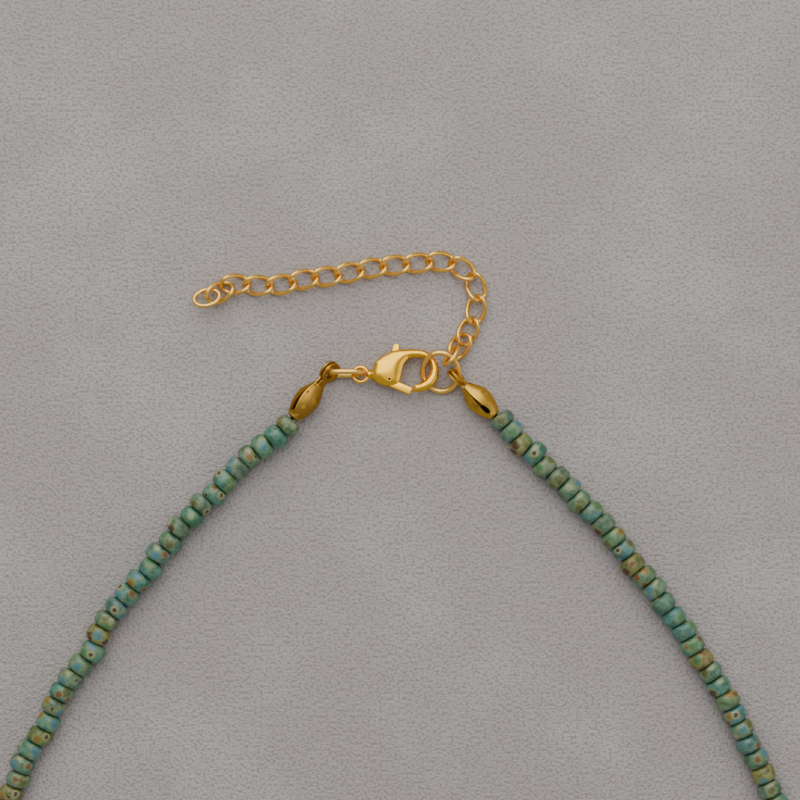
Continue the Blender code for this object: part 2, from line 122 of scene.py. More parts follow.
class Graph:
    """The node tree of one material, with a Principled shader at its end."""

    def __init__(self, name: str) -> None:
        """Makes the material.

        Args:
            name: the material's name.
        """
        self.material = bpy.data.materials.new(name)
        self.material.use_nodes = True
        self.tree = self.material.node_tree
        self.shader = self.tree.nodes["Principled BSDF"]

    def node(
        self, kind: str, settings: dict | None = None, inputs: dict | None = None, output: int | str = 0
    ) -> Signal:
        """Adds any node.

        Args:
            kind: the node's type.
            settings: its properties, set before its sockets.
            inputs: values or signals for its sockets, by index or name.
            output: the output to return.

        Returns:
            The chosen output.
        """
        made = self.tree.nodes.new(kind)
        for name, value in (settings or {}).items():
            setattr(made, name, value)
        for key, value in (inputs or {}).items():
            self.put(made.inputs[key], value)
        return Signal(self, made.outputs[output])

    def put(self, socket: bpy.types.NodeSocket, value: Signal | float | Sequence[float]) -> None:
        """Links a signal to the socket, or sets the socket's value."""
        if isinstance(value, Signal):
            self.tree.links.new(value.socket, socket)
        elif socket.type == "RGBA" and len(value) == 3:
            socket.default_value = (*value, 1)
        else:
            socket.default_value = value

    def finish(self, **inputs: Signal | float | Sequence[float]) -> bpy.types.Material:
        """Sets the shader's sockets, whose names have _ for a space, and returns the material."""
        for name, value in inputs.items():
            self.put(self.shader.inputs[name.replace("_", " ")], value)
        return self.material

    def place(self) -> Signal:
        """The point on the surface, in metres."""
        return self.node("ShaderNodeTexCoord", output="Object")

    def attribute(self, name: str, output: str = "Fac") -> Signal:
        """A value that the mesh carries: output is Fac, Vector or Color."""
        return self.node("ShaderNodeAttribute", {"attribute_name": name}, output=output)

    def noise(self, at: Signal, grain: float, detail: float = 2.0, roughness: float = 0.5) -> Signal:
        """Noise whose lumps are about grain metres across."""
        values = {"Vector": at, "Scale": 1 / grain, "Detail": detail, "Roughness": roughness}
        return self.node("ShaderNodeTexNoise", inputs=values, output="Fac")

    def noise_colour(self, at: Signal, grain: float, detail: float = 2.0) -> Signal:
        """Three noises at once, whose lumps are about grain metres across."""
        values = {"Vector": at, "Scale": 1 / grain, "Detail": detail}
        return self.node("ShaderNodeTexNoise", inputs=values, output="Color")

    def rise(self, value: Signal, low: float, high: float) -> Signal:
        """0 below low, 1 above high, and smooth between."""
        settings = {"interpolation_type": "SMOOTHSTEP"}
        return self.node("ShaderNodeMapRange", settings, {"Value": value, "From Min": low, "From Max": high})

    def mix(self, share: Signal | float, first: Signal | Colour, second: Signal | Colour) -> Signal:
        """The first colour, and the second where share is 1."""
        return self._mix("MIX", {"Factor": share, "A": first, "B": second})

    def tint(self, share: Signal | float, first: Signal | Colour, second: Signal | Colour) -> Signal:
        """The first colour, and its product with the second where share is 1."""
        return self._mix("MULTIPLY", {"Factor": share, "A": first, "B": second})

    def _mix(self, blend: str, values: dict) -> Signal:
        """Adds a Mix node for colours."""
        made = self.tree.nodes.new("ShaderNodeMix")
        made.data_type = "RGBA"
        made.blend_type = blend
        for name, value in values.items():
            self.put(next(s for s in made.inputs if s.name == name and s.enabled), value)
        return Signal(self, next(s for s in made.outputs if s.enabled))

    def vector(self, operation: str, first: Signal | Colour, second: Signal | Colour, output: str) -> Signal:
        """Adds a Vector Math node on two vectors."""
        return self.node("ShaderNodeVectorMath", {"operation": operation}, {0: first, 1: second}, output)

    def bump(self, height: Signal, distance: float, strength: float = 1.0) -> Signal:
        """A normal from a height of 0 to 1, which stands for distance metres."""
        values = {"Height": height, "Distance": distance, "Strength": strength}
        return self.node("ShaderNodeBump", inputs=values, output="Normal")


# Finishes


@dataclass(frozen=True)
class Layer:
    """How a layer of a finish follows a value: where it starts, where it is full, and its share."""

    start: float
    full: float
    share: float = 1.0

    def over(self, graph: Graph, value: Signal) -> Signal:
        """How much of the layer shows where the value is this."""
        return graph.rise(value, self.start, self.full) * self.share


@dataclass(frozen=True)
class Glaze:
    """Opaque satin glass with a mottled stone-like glaze, coloured by what each bead carries.

    Each bead carries a tint, a seed, and a few spots: place, size, tint and whether it is an eye. A
    spot's layers follow the distance from its middle, in shares of its size. An eye is a spot with a
    dark ring around a light middle.
    """

    cloud: float = 1.1 * MM
    fray: float = 0.55 * MM
    grain: float = 0.22 * MM
    pore: float = 0.07 * MM
    relief: float = 0.022 * MM
    seed_ways: Colour = (1.0, 0.7, 1.3)
    patches_apart: Colour = (0.31, 0.17, 0.23)
    shaded: Layer = Layer(0.46, 0.62)
    lit: Layer = Layer(0.48, 0.30, 0.34)
    mossy: Layer = Layer(0.52, 0.66, 0.56)
    grained: Layer = Layer(0.50, 0.70, 0.8)
    refraction: float = 1.5
    coat: float = 0.3
    coat_roughness: float = 0.2
    roughness: float = 0.26
    grain_roughness: float = 0.18
    pore_roughness: float = 0.06
    grain_height: float = 0.6
    pore_height: float = 0.3
    spot_hollow: float = 0.35
    spots: int = 3
    spread: float = 0.62 * MM
    frays_fully: float = 0.7 * MM
    ragged: float = 0.7
    eye_calm: float = 0.7
    eye_neat: float = 0.4
    spot: Layer = Layer(1.05, 0.62)
    ring: Layer = Layer(1.5, 1.0)
    dark: Layer = Layer(0.68, 0.42)
    pupil: Layer = Layer(0.34, 0.10, 0.5)
    heart: Layer = Layer(0.60, 0.10, 0.4)
    spot_cover: float = 0.88
    halo_cover: float = 0.5
    moss: Colour = (0.110, 0.125, 0.040)
    shade: Colour = (0.48, 0.60, 0.52)
    light: Colour = (0.26, 0.36, 0.21)
    eye_core: Colour = (0.030, 0.016, 0.008)
    halo: Colour = (0.26, 0.28, 0.10)
    scorch: Colour = (0.46, 0.34, 0.22)

    def material(self) -> bpy.types.Material:
        """Builds the glaze.

        Returns:
            The material.
        """
        graph = Graph("turquoise_glaze")
        place = graph.place()
        seed = graph.attribute("bead_seed")
        steps = {axis: seed * way for axis, way in enumerate(self.seed_ways)}
        own = graph.vector("ADD", place, graph.node("ShaderNodeCombineXYZ", inputs=steps), "Vector")
        cloud = graph.noise(own, self.cloud, 3, 0.55)
        elsewhere = graph.vector("ADD", own, self.patches_apart, "Vector")
        patch = graph.noise(elsewhere, self.cloud, 4, 0.65)
        grain = graph.noise(own, self.grain, 4, 0.6)
        pore = graph.noise(own, self.pore, 2)
        colour = graph.tint(self.shaded.over(graph, cloud), graph.attribute("bead_tint", "Color"), self.shade)
        colour = graph.mix(self.lit.over(graph, cloud), colour, self.light)
        colour = graph.mix(self.mossy.over(graph, patch), colour, self.moss)
        colour = graph.tint(self.grained.over(graph, grain), colour, self.shade)
        warp = graph.vector("SUBTRACT", graph.noise_colour(own, self.fray, 3), (0.5, 0.5, 0.5), "Vector")
        warp = graph.vector("MULTIPLY", warp, (2 * self.spread,) * 3, "Vector")
        covered: Signal | float = 0.0
        for number in range(self.spots):
            colour, mask = self._spot(graph, (place, warp), grain, colour, f"spot{number}")
            covered = mask + covered
        height = grain * self.grain_height + pore * self.pore_height - covered * self.spot_hollow
        return graph.finish(
            Base_Color=colour,
            Roughness=self.roughness + grain * self.grain_roughness + pore * self.pore_roughness,
            IOR=self.refraction,
            Coat_Weight=self.coat,
            Coat_Roughness=self.coat_roughness,
            Normal=graph.bump(height, self.relief),
        )

    def _spot(
        self, graph: Graph, places: tuple[Signal, Signal], grain: Signal, colour: Signal, name: str
    ) -> tuple[Signal, Signal]:
        """Paints one spot.

        Args:
            graph: the graph to add to.
            places: the point on the surface, and how far it is bent so that large spots fray.
            grain: fine noise that roughens the spot's edge.
            colour: the colour so far.
            name: what the spot's attributes start with.

        Returns:
            The colour with the spot, and the spot's mask.
        """
        eye = graph.attribute(f"{name}_eye")
        size = graph.attribute(f"{name}_size")
        frayed = size * (1 - eye * self.eye_calm) / self.frays_fully
        bend = graph.vector("MULTIPLY", places[1], frayed, "Vector")
        bent = graph.vector("ADD", places[0], bend, "Vector")
        away = graph.vector("DISTANCE", bent, graph.attribute(f"{name}_place", "Vector"), "Value")
        away = away / size + (grain - 0.5) * (self.ragged - eye * self.eye_neat)
        inside = self.spot.over(graph, away)
        around = self.ring.over(graph, away) - inside
        colour = graph.mix(around * self.halo_cover, colour, self.halo)
        colour = graph.mix(inside * self.spot_cover, colour, graph.attribute(f"{name}_tint", "Color"))
        colour = graph.tint(self.heart.over(graph, away) * (1 - eye), colour, self.scorch)
        colour = graph.mix(self.dark.over(graph, away) * eye, colour, self.eye_core)
        return graph.mix(self.pupil.over(graph, away) * eye, colour, self.moss), inside


@dataclass(frozen=True)
class Plate:
    """Gold plating: polished or worn, with faint waves, fine scratches and darker, tarnished places.

    Hollows are tarnished and outer edges are rubbed bright, both by how sharply the surface bends.
    """

    name: str
    colour: Colour
    tarnish: Colour
    smooth: float
    rough: float
    tarnished: float
    rubbed: Colour = (1.0, 0.62, 0.09)
    glancing: Colour = (1.0, 0.80, 0.45)
    wave: float = 0.9 * MM
    scratch: float = 0.05 * MM
    brushed: Colour = (1.0, 0.25, 1.0)
    relief: float = 0.014 * MM
    relief_strength: float = 0.6
    scratch_depth: float = 0.08
    hollows: Layer = Layer(0.50, 0.44)
    edges: Layer = Layer(0.52, 0.60)
    worn: Layer = Layer(0.56, 0.74)
    scratches: Layer = Layer(0.35, 0.75, 0.45)
    hollow_tarnish: float = 0.6
    edge_shine: float = 0.6
    worn_roughness: float = 0.55
    edge_smoothness: float = 0.3

    def material(self) -> bpy.types.Material:
        """Builds the plating.

        Returns:
            The material.
        """
        graph = Graph(self.name)
        place = graph.place()
        wave = graph.noise(place, self.wave, 3)
        scratch = graph.noise(graph.vector("MULTIPLY", place, self.brushed, "Vector"), self.scratch, 3)
        bent = graph.node("ShaderNodeNewGeometry", output="Pointiness")
        hollow = self.hollows.over(graph, bent) * (self.tarnished * self.hollow_tarnish)
        edge = self.edges.over(graph, bent)
        worn = self.worn.over(graph, wave) * self.tarnished * (1 - edge)
        colour = graph.mix(worn + hollow, self.colour, self.tarnish)
        roughened = self.scratches.over(graph, scratch) + worn * self.worn_roughness
        return graph.finish(
            Base_Color=graph.mix(edge * self.edge_shine, colour, self.rubbed),
            Metallic=1.0,
            Specular_Tint=self.glancing,
            Roughness=self.smooth + (roughened - edge * self.edge_smoothness) * (self.rough - self.smooth),
            Normal=graph.bump(wave + scratch * self.scratch_depth, self.relief, self.relief_strength),
        )


POLISHED_GOLD = Plate(
    "polished_gold", (1.0, 0.565, 0.045), (0.72, 0.30, 0.02), smooth=0.20, rough=0.34, tarnished=0.30
)
CHAIN_GOLD = Plate(
    "chain_gold", (1.0, 0.62, 0.14), (0.72, 0.38, 0.05), smooth=0.27, rough=0.44, tarnished=0.40
)
SATIN_GOLD = Plate(
    "satin_gold", (0.66, 0.39, 0.055), (0.22, 0.10, 0.015), smooth=0.36, rough=0.58, tarnished=0.80
)
# A darker copy of the bead tips' gold, for the left bead tip. Inside the rivet's punched hole the same gold
# is painted shade.
DARKER_GOLD_AND_HOLE_SHADE = Plate(
    "darker_gold_and_hole_shade", (0.44, 0.245, 0.040), (0.13, 0.055, 0.010), smooth=0.44, rough=0.66, tarnished=0.95
)


@dataclass(frozen=True)
class Cord:
    """Dark waxed stringing cord with fine fibres."""

    colour: Colour = (0.014, 0.009, 0.006)
    worn: Colour = (0.045, 0.030, 0.020)
    fibre: float = 0.06 * MM
    relief: float = 0.02 * MM
    rubbed: Layer = Layer(0.45, 0.75)

    def material(self) -> bpy.types.Material:
        """Builds the cord's finish."""
        graph = Graph("waxed_cord")
        fibre = graph.noise(graph.place(), self.fibre, 3)
        return graph.finish(
            Base_Color=graph.mix(self.rubbed.over(graph, fibre), self.colour, self.worn),
            Roughness=0.6 + fibre * 0.3,
            Specular_IOR_Level=0.15,
            Normal=graph.bump(fibre, self.relief),
        )


@dataclass(frozen=True)
class Ground:
    """Pale grey-beige paper with a leathery grain and soft cloudy patches."""

    colour: Colour = (0.43, 0.395, 0.385)
    pale: Colour = (0.52, 0.49, 0.485)
    deep: Colour = (0.27, 0.245, 0.235)
    grain: float = 0.40 * MM
    cloud: float = 26 * MM
    relief: float = 0.30 * MM
    patches: Layer = Layer(0.42, 0.70, 0.8)
    pits: Layer = Layer(0.54, 0.36, 0.65)

    def material(self) -> bpy.types.Material:
        """Builds the ground's finish."""
        graph = Graph("grained_paper")
        place = graph.place()
        grain = graph.noise(place, self.grain, 2, 0.55)
        cloud = graph.noise(place, self.cloud, 4, 0.6)
        colour = graph.mix(self.patches.over(graph, cloud), self.colour, self.pale)
        return graph.finish(
            Base_Color=graph.mix(self.pits.over(graph, grain), colour, self.deep),
            Roughness=0.75,
            Specular_IOR_Level=0.3,
            Normal=graph.bump(grain, self.relief),
        )


# Meshes


class Crease(Enum):
    """From how many degrees an edge stays crisp, on each kind of piece."""

    LEVER = 35
    RIVET = 40
    CASTING = 42
    TAB = 45
    WIRE = 50
    SHELL = 60


def turns_of(count: int) -> np.ndarray:
    """The angles of a full turn in equal steps, in radians."""
    return np.arange(count) * 2 * math.pi / count


def eased(value: float | np.ndarray, low: float, high: float) -> float | np.ndarray:
    """0 below low, 1 above high, and smooth between."""
    share = np.clip((value - low) / (high - low), 0, 1)
    return share * share * (3 - 2 * share)


def new_object(name: str, mesh: bpy.types.Mesh) -> bpy.types.Object:
    """Puts a mesh in the scene under a name of its own."""
    made = bpy.data.objects.new(name, mesh)
    bpy.context.scene.collection.objects.link(made)
    return made


def mesh_from(name: str, points: np.ndarray, faces: list[tuple[int, ...]]) -> bpy.types.Mesh:
    """Makes a smooth-shaded mesh with outward faces.

    Args:
        name: the mesh's name.
        points: its corners, one a row.
        faces: the corners of each face.

    Returns:
        The mesh.
    """
    mesh = bpy.data.meshes.new(name)
    mesh.from_pydata([tuple(map(float, point)) for point in points], [], faces)
    work = bmesh.new()
    work.from_mesh(mesh)
    bmesh.ops.recalc_face_normals(work, faces=work.faces)
    for face in work.faces:
        face.smooth = True
    work.to_mesh(mesh)
    work.free()
    return mesh


def loft_faces(count: int, sides: int, closed: bool, first: int = 0) -> list[tuple[int, ...]]:
    """Faces between rings of points.

    Args:
        count: how many rings there are.
        sides: how many points each ring has.
        closed: whether the last ring joins the first; if not, both ends get a cap.
        first: the number of the first point.

    Returns:
        The faces.
    """
    faces: list[tuple[int, ...]] = []
    for i in range(count if closed else count - 1):
        low, high = first + i * sides, first + (i + 1) % count * sides
        for k in range(sides):
            m = (k + 1) % sides
            faces.append((low + k, high + k, high + m, low + m))
    if not closed:
        faces.append(tuple(range(first, first + sides)))
        faces.append(tuple(range(first + count * sides - 1, first + (count - 1) * sides - 1, -1)))
    return faces


def tube(name: str, path: np.ndarray, radii: np.ndarray, sides: int, closed: bool) -> bpy.types.Mesh:
    """A round tube along a path that never runs along Z.

    Args:
        name: the mesh's name.
        path: the points on its middle line.
        radii: its radius at each point.
        sides: how many points each ring has.
        closed: whether its ends meet.

    Returns:
        The mesh.
    """
    if closed:
        tangents = np.roll(path, -1, axis=0) - np.roll(path, 1, axis=0)
    else:
        tangents = np.gradient(path, axis=0)
    tangents /= np.linalg.norm(tangents, axis=1)[:, None]
    across = np.cross(tangents, (0, 0, 1))
    across /= np.linalg.norm(across, axis=1)[:, None]
    upward = np.cross(across, tangents)
    turns = turns_of(sides)
    spokes = np.cos(turns)[None, :, None] * across[:, None] + np.sin(turns)[None, :, None] * upward[:, None]
    rings = path[:, None] + spokes * radii[:, None, None]
    return mesh_from(name, rings.reshape(-1, 3), loft_faces(len(path), sides, closed))


def slab(name: str, outlines: list[np.ndarray], thickness: float, rounding: float) -> bpy.types.Mesh:
    """A flat piece with rounded edges: the first outline is its edge and the others are holes."""
    curve = bpy.data.curves.new(name, "CURVE")
    curve.dimensions = "2D"
    curve.fill_mode = "BOTH"
    curve.extrude = thickness / 2 - rounding
    curve.bevel_depth = rounding
    curve.bevel_resolution = 3
    curve.offset = -rounding
    for outline in outlines:
        spline = curve.splines.new("POLY")
        spline.points.add(len(outline) - 1)
        for point, place in zip(spline.points, outline):
            point.co = (place[0], place[1], 0, 1)
        spline.use_cyclic_u = True
    return evaluated(bpy.data.objects.new(name, curve), weld=1e-4 * thickness)


def evaluated(holder: bpy.types.Object, weld: float = 0.0) -> bpy.types.Mesh:
    """The mesh that an object gives with its modifiers; the object itself is removed."""
    if holder.name not in bpy.context.scene.collection.objects:
        bpy.context.scene.collection.objects.link(holder)
    graph = bpy.context.evaluated_depsgraph_get()
    mesh = bpy.data.meshes.new_from_object(holder.evaluated_get(graph))
    bpy.data.objects.remove(holder)
    if weld:
        work = bmesh.new()
        work.from_mesh(mesh)
        bmesh.ops.remove_doubles(work, verts=work.verts, dist=weld)
        bmesh.ops.recalc_face_normals(work, faces=work.faces)
        work.to_mesh(mesh)
        work.free()
    return mesh


def joined(name: str, meshes: list[bpy.types.Mesh]) -> bpy.types.Mesh:
    """One mesh that holds all of them."""
    work = bmesh.new()
    for mesh in meshes:
        work.from_mesh(mesh)
    made = bpy.data.meshes.new(name)
    work.to_mesh(made)
    work.free()
    return made


def voxelled(mesh: bpy.types.Mesh, size: float, passes: int) -> bpy.types.Mesh:
    """The outer skin of overlapping meshes as one even mesh, smoothed a number of times."""
    holder = bpy.data.objects.new(mesh.name, mesh)
    remesh = holder.modifiers.new("skin", "REMESH")
    remesh.mode = "VOXEL"
    remesh.voxel_size = size
    if passes:
        smooth = holder.modifiers.new("smooth", "SMOOTH")
        smooth.factor = 0.5
        smooth.iterations = passes
    return evaluated(holder)


def cut(mesh: bpy.types.Mesh, tools: list[bpy.types.Mesh]) -> bpy.types.Mesh:
    """The mesh without the space of the tools."""
    holder = new_object(mesh.name, mesh)
    helpers = [new_object(tool.name, tool) for tool in tools]
    for helper in helpers:
        modifier = holder.modifiers.new(helper.name, "BOOLEAN")
        modifier.object = helper
        modifier.operation = "DIFFERENCE"
        modifier.solver = "EXACT"
    made = evaluated(holder)
    for helper in helpers:
        bpy.data.objects.remove(helper)
    return made


def smooth_but(mesh: bpy.types.Mesh, crease: Crease) -> None:
    """Shades the mesh smooth, with its sharper edges kept crisp."""
    mesh.shade_smooth()
    mesh.set_sharp_from_angle(angle=math.radians(crease.value))


def in_place(mesh: bpy.types.Mesh, matrix: Matrix) -> bpy.types.Mesh:
    """Moves a mesh that was made in millimetres to its place in metres."""
    mesh.transform(matrix @ Matrix.Scale(MM, 4))
    return mesh


def rested(mesh: bpy.types.Mesh) -> bpy.types.Mesh:
    """Lifts a mesh that dips below the ground onto it."""
    lowest = min(vertex.co.z for vertex in mesh.vertices)
    mesh.transform(Matrix.Translation((0, 0, max(0.0, 0.01 * MM - lowest))))
    return mesh


def dress(
    name: str,
    mesh: bpy.types.Mesh,
    finish: bpy.types.Material,
    replaces: tuple[str, ...] = (),
    body: str = NECKLACE_BODY,
) -> bpy.types.Object:
    """Makes a visible piece of a mesh.

    Args:
        name: the piece's name.
        mesh: its mesh, in place.
        finish: its material.
        replaces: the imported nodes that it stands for.
        body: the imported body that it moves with.

    Returns:
        The piece.
    """
    mesh.materials.clear()
    mesh.materials.append(finish)
    made = new_object(name, mesh)
    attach(made, body)
    if replaces:
        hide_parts(*replaces)
    LOG.info("%s: %d faces", name, len(mesh.polygons))
    return made


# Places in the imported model


def node_points(node: str) -> np.ndarray:
    """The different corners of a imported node, in metres."""
    points = np.array([vertex.co for vertex in frame["nodes"][node].data.vertices])
    return np.unique(np.round(points, 7), axis=0)


def node_middle(node: str) -> Vector:
    """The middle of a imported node's box."""
    low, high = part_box(node)
    return (low + high) / 2


def main_ways(points: np.ndarray) -> list[Vector]:
    """The points' three main directions, from the narrowest to the longest."""
    return [Vector(way) for way in np.linalg.eigh(np.cov((points - points.mean(axis=0)).T))[1].T]


def placed(origin: Vector, x_way: Vector, z_way: Vector) -> Matrix:
    """The placement with this origin and these X and Z directions."""
    matrix = Matrix((x_way, z_way.cross(x_way), z_way)).transposed().to_4x4()
    matrix.translation = origin
    return matrix


def ring_place(node: str) -> Matrix:
    """Where a packed ring lies: X along its longest way, Z across its plane."""
    points = node_points(node)
    across, _, along = main_ways(points)
    across = across if across.z > 0 else -across
    along = along if along.x > 0 else -along
    return placed(Vector(points.mean(axis=0)), along, across)


# Beads


class Hue(Enum):
    """Letters of the bead charts. Capitals are whole beads, and small letters and K are spots."""

    GREY_GREEN = "G"
    TURQUOISE = "T"
    SKY = "S"
    MOSS = "M"
    STRAW = "Y"
    MUSTARD = "m"
    RUST = "r"
    BROWN = "K"
    DOT = "k"
    PALE = "w"
    BLUE = "b"
    GREEN = "g"
    OLIVE = "o"
    EYE = "e"


@dataclass(frozen=True)
class Shade:
    """A hue's colour, and its radius where it is a spot."""

    colour: Colour
    size: float = 0.0


SHADES = {
    Hue.GREY_GREEN: Shade((0.105, 0.192, 0.112)),
    Hue.TURQUOISE: Shade((0.072, 0.205, 0.150)),
    Hue.SKY: Shade((0.070, 0.215, 0.235)),
    Hue.MOSS: Shade((0.095, 0.145, 0.045)),
    Hue.STRAW: Shade((0.200, 0.190, 0.050)),
    Hue.MUSTARD: Shade((0.250, 0.145, 0.014), 0.64 * MM),
    Hue.RUST: Shade((0.195, 0.062, 0.008), 0.50 * MM),
    Hue.BROWN: Shade((0.065, 0.020, 0.004), 0.72 * MM),
    Hue.DOT: Shade((0.024, 0.013, 0.008), 0.28 * MM),
    Hue.PALE: Shade((0.300, 0.350, 0.200), 0.50 * MM),
    Hue.BLUE: Shade((0.062, 0.205, 0.240), 0.80 * MM),
    Hue.GREEN: Shade((0.065, 0.200, 0.060), 0.78 * MM),
    Hue.OLIVE: Shade((0.105, 0.115, 0.025), 0.72 * MM),
    Hue.EYE: Shade((0.380, 0.370, 0.170), 0.54 * MM),
}

# One word for each bead in view, from the bead tip down. It starts with the bead's own hue, and each
# spot after it is a letter and its place as on a number pad laid over the bead, 7 at the upper left.
# The keys of that pad are PAD_STEP of the bead's radius apart
PAD_STEP = 0.58
LEFT_CHART = (
    "Go7w6o4 Tk8 Tw8b5 Gm5k6w8 Gb4b7 Tg6g3e7 Tr8k4e6 Go4e3 Tw5 GK4w7 Tg7o5 Tr6b5w8 Tg8 Tb8m4r3 Te7r6b4 "
    "Te5b3 Go5w6g2 YK4K3b5 Tb8g4e5 Gb5 Gw8k6b4 Tr5o6r3 Gm7k5b3 Tm7b6 Mm5e6 Tw7b3b6 Tb4r6w8 Go6r5o9 Ym4k5e6"
)
RIGHT_CHART = (
    "Go5w7 Tg5b9 YK1K4g9 Tb1e5w8 Go9g4 Go5o1w7 Gw5b9 Gw8o5o2 Tb7g9 Gr1K1w7 Gm9o1w8 Se4o9 Yr5K1K3 Gr4r2m8 "
    "Gb1b4w8 Tw7 Sr3g6 Tg9 Tr4g5r9 Yr8g4 To4w8 TK1w8 Gm8r9 Sm4e5r1 Gb5o9w1 Tk3r6 Gr5b9 Ym7o8b2 Go5w8"
)
# From each of these beads' middles to the next one's, and each bead's place sideways of the route
STEP_UNIT = 0.10 * MM
JOG_UNIT = 0.08 * MM
LEFT_STEPS = "20 24 21 22 25 23 20 22 21 24 20 24 21 25 23 20 22 24 24 22 22 21 22 22 22 22 21 21"
RIGHT_STEPS = "18 24 19 25 20 23 20 22 23 22 21 22 24 19 24 24 22 21 24 20 21 23 22 20 23 21 24 21"
LEFT_JOGS = "3 3 2 2 3 2 4 -1 2 -2 3 -3 2 -1 0 1 -1 -1 4 0 1 1 0 4 3 -1 0 4 1"
RIGHT_JOGS = "-3 -2 3 -3 3 0 0 4 1 -1 -1 -2 2 -1 -3 1 0 -1 0 0 -1 0 -1 0 -1 0 -1 0 1"
HUES_OUT_OF_VIEW = "TTTTTGGGGSMY"
SPOTS_OUT_OF_VIEW = "mrrKkkwwbbbbggoooee"


@dataclass(frozen=True)
class Spot:
    """One spot of a bead's glaze: its hue and its place on the number pad."""

    hue: Hue
    key: int

    def offset(self) -> Vector:
        """Its place from the bead's middle seen from above, in shares of the bead's radius."""
        column, row = (self.key - 1) % 3 - 1, (self.key - 1) // 3 - 1
        return Vector((PAD_STEP * column, PAD_STEP * row))


@dataclass
class Bead:
    """One glass bead.

    Fields: its distance along the route, its sideways place, its length, its radius, its hue, its
    spots, and a number that makes its own small irregularities.
    """

    along: float
    jog: float
    length: float
    radius: float
    hue: Hue
    spots: list[Spot]
    seed: int


class Route:
    """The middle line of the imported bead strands, from the left bead tip to the right one."""

    CREST = 0.01 * MM

    def __init__(self, strands: list[str], start: Vector) -> None:
        """Reads the line off the strands' highest corners, which lie above it.

        Args:
            strands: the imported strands, in order.
            start: a place near the first strand's free end.
        """
        here = np.array(start.xy)
        line: list[np.ndarray] = []
        self.ends: list[float] = []
        for strand in strands:
            points = node_points(strand)
            top = points[points[:, 2] > points[:, 2].max() - self.CREST][:, :2]
            while len(top):
                nearest = int(np.argmin(np.linalg.norm(top - here, axis=1)))
                here = top[nearest]
                line.append(here)
                top = np.delete(top, nearest, axis=0)
            self.ends.append(float(np.linalg.norm(np.diff(np.array(line), axis=0), axis=1).sum()))
        points = np.array(line)
        run_out = points[1] - points[0], points[-1] - points[-2]
        self.line = np.vstack([points[0] - run_out[0], points, points[-1] + run_out[1]])
        self.lead = float(np.linalg.norm(run_out[0]))
        self.travelled = np.concatenate([[0], np.cumsum(np.linalg.norm(np.diff(self.line, axis=0), axis=1))])

    @property
    def length(self) -> float:
        """The whole length."""
        return float(self.travelled[-1])

    def at(self, distance: float) -> tuple[Vector, float]:
        """The point at a distance along the line, and the heading there."""
        i = int(np.clip(np.searchsorted(self.travelled, distance, "right") - 1, 0, len(self.line) - 2))
        step = self.line[i + 1] - self.line[i]
        share = (distance - self.travelled[i]) / (self.travelled[i + 1] - self.travelled[i])
        return Vector(self.line[i] + share * step), math.atan2(step[1], step[0])

    def strand_at(self, distance: float) -> int:
        """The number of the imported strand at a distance."""
        return min(int(np.searchsorted(self.ends, distance - self.lead)), len(self.ends) - 1)


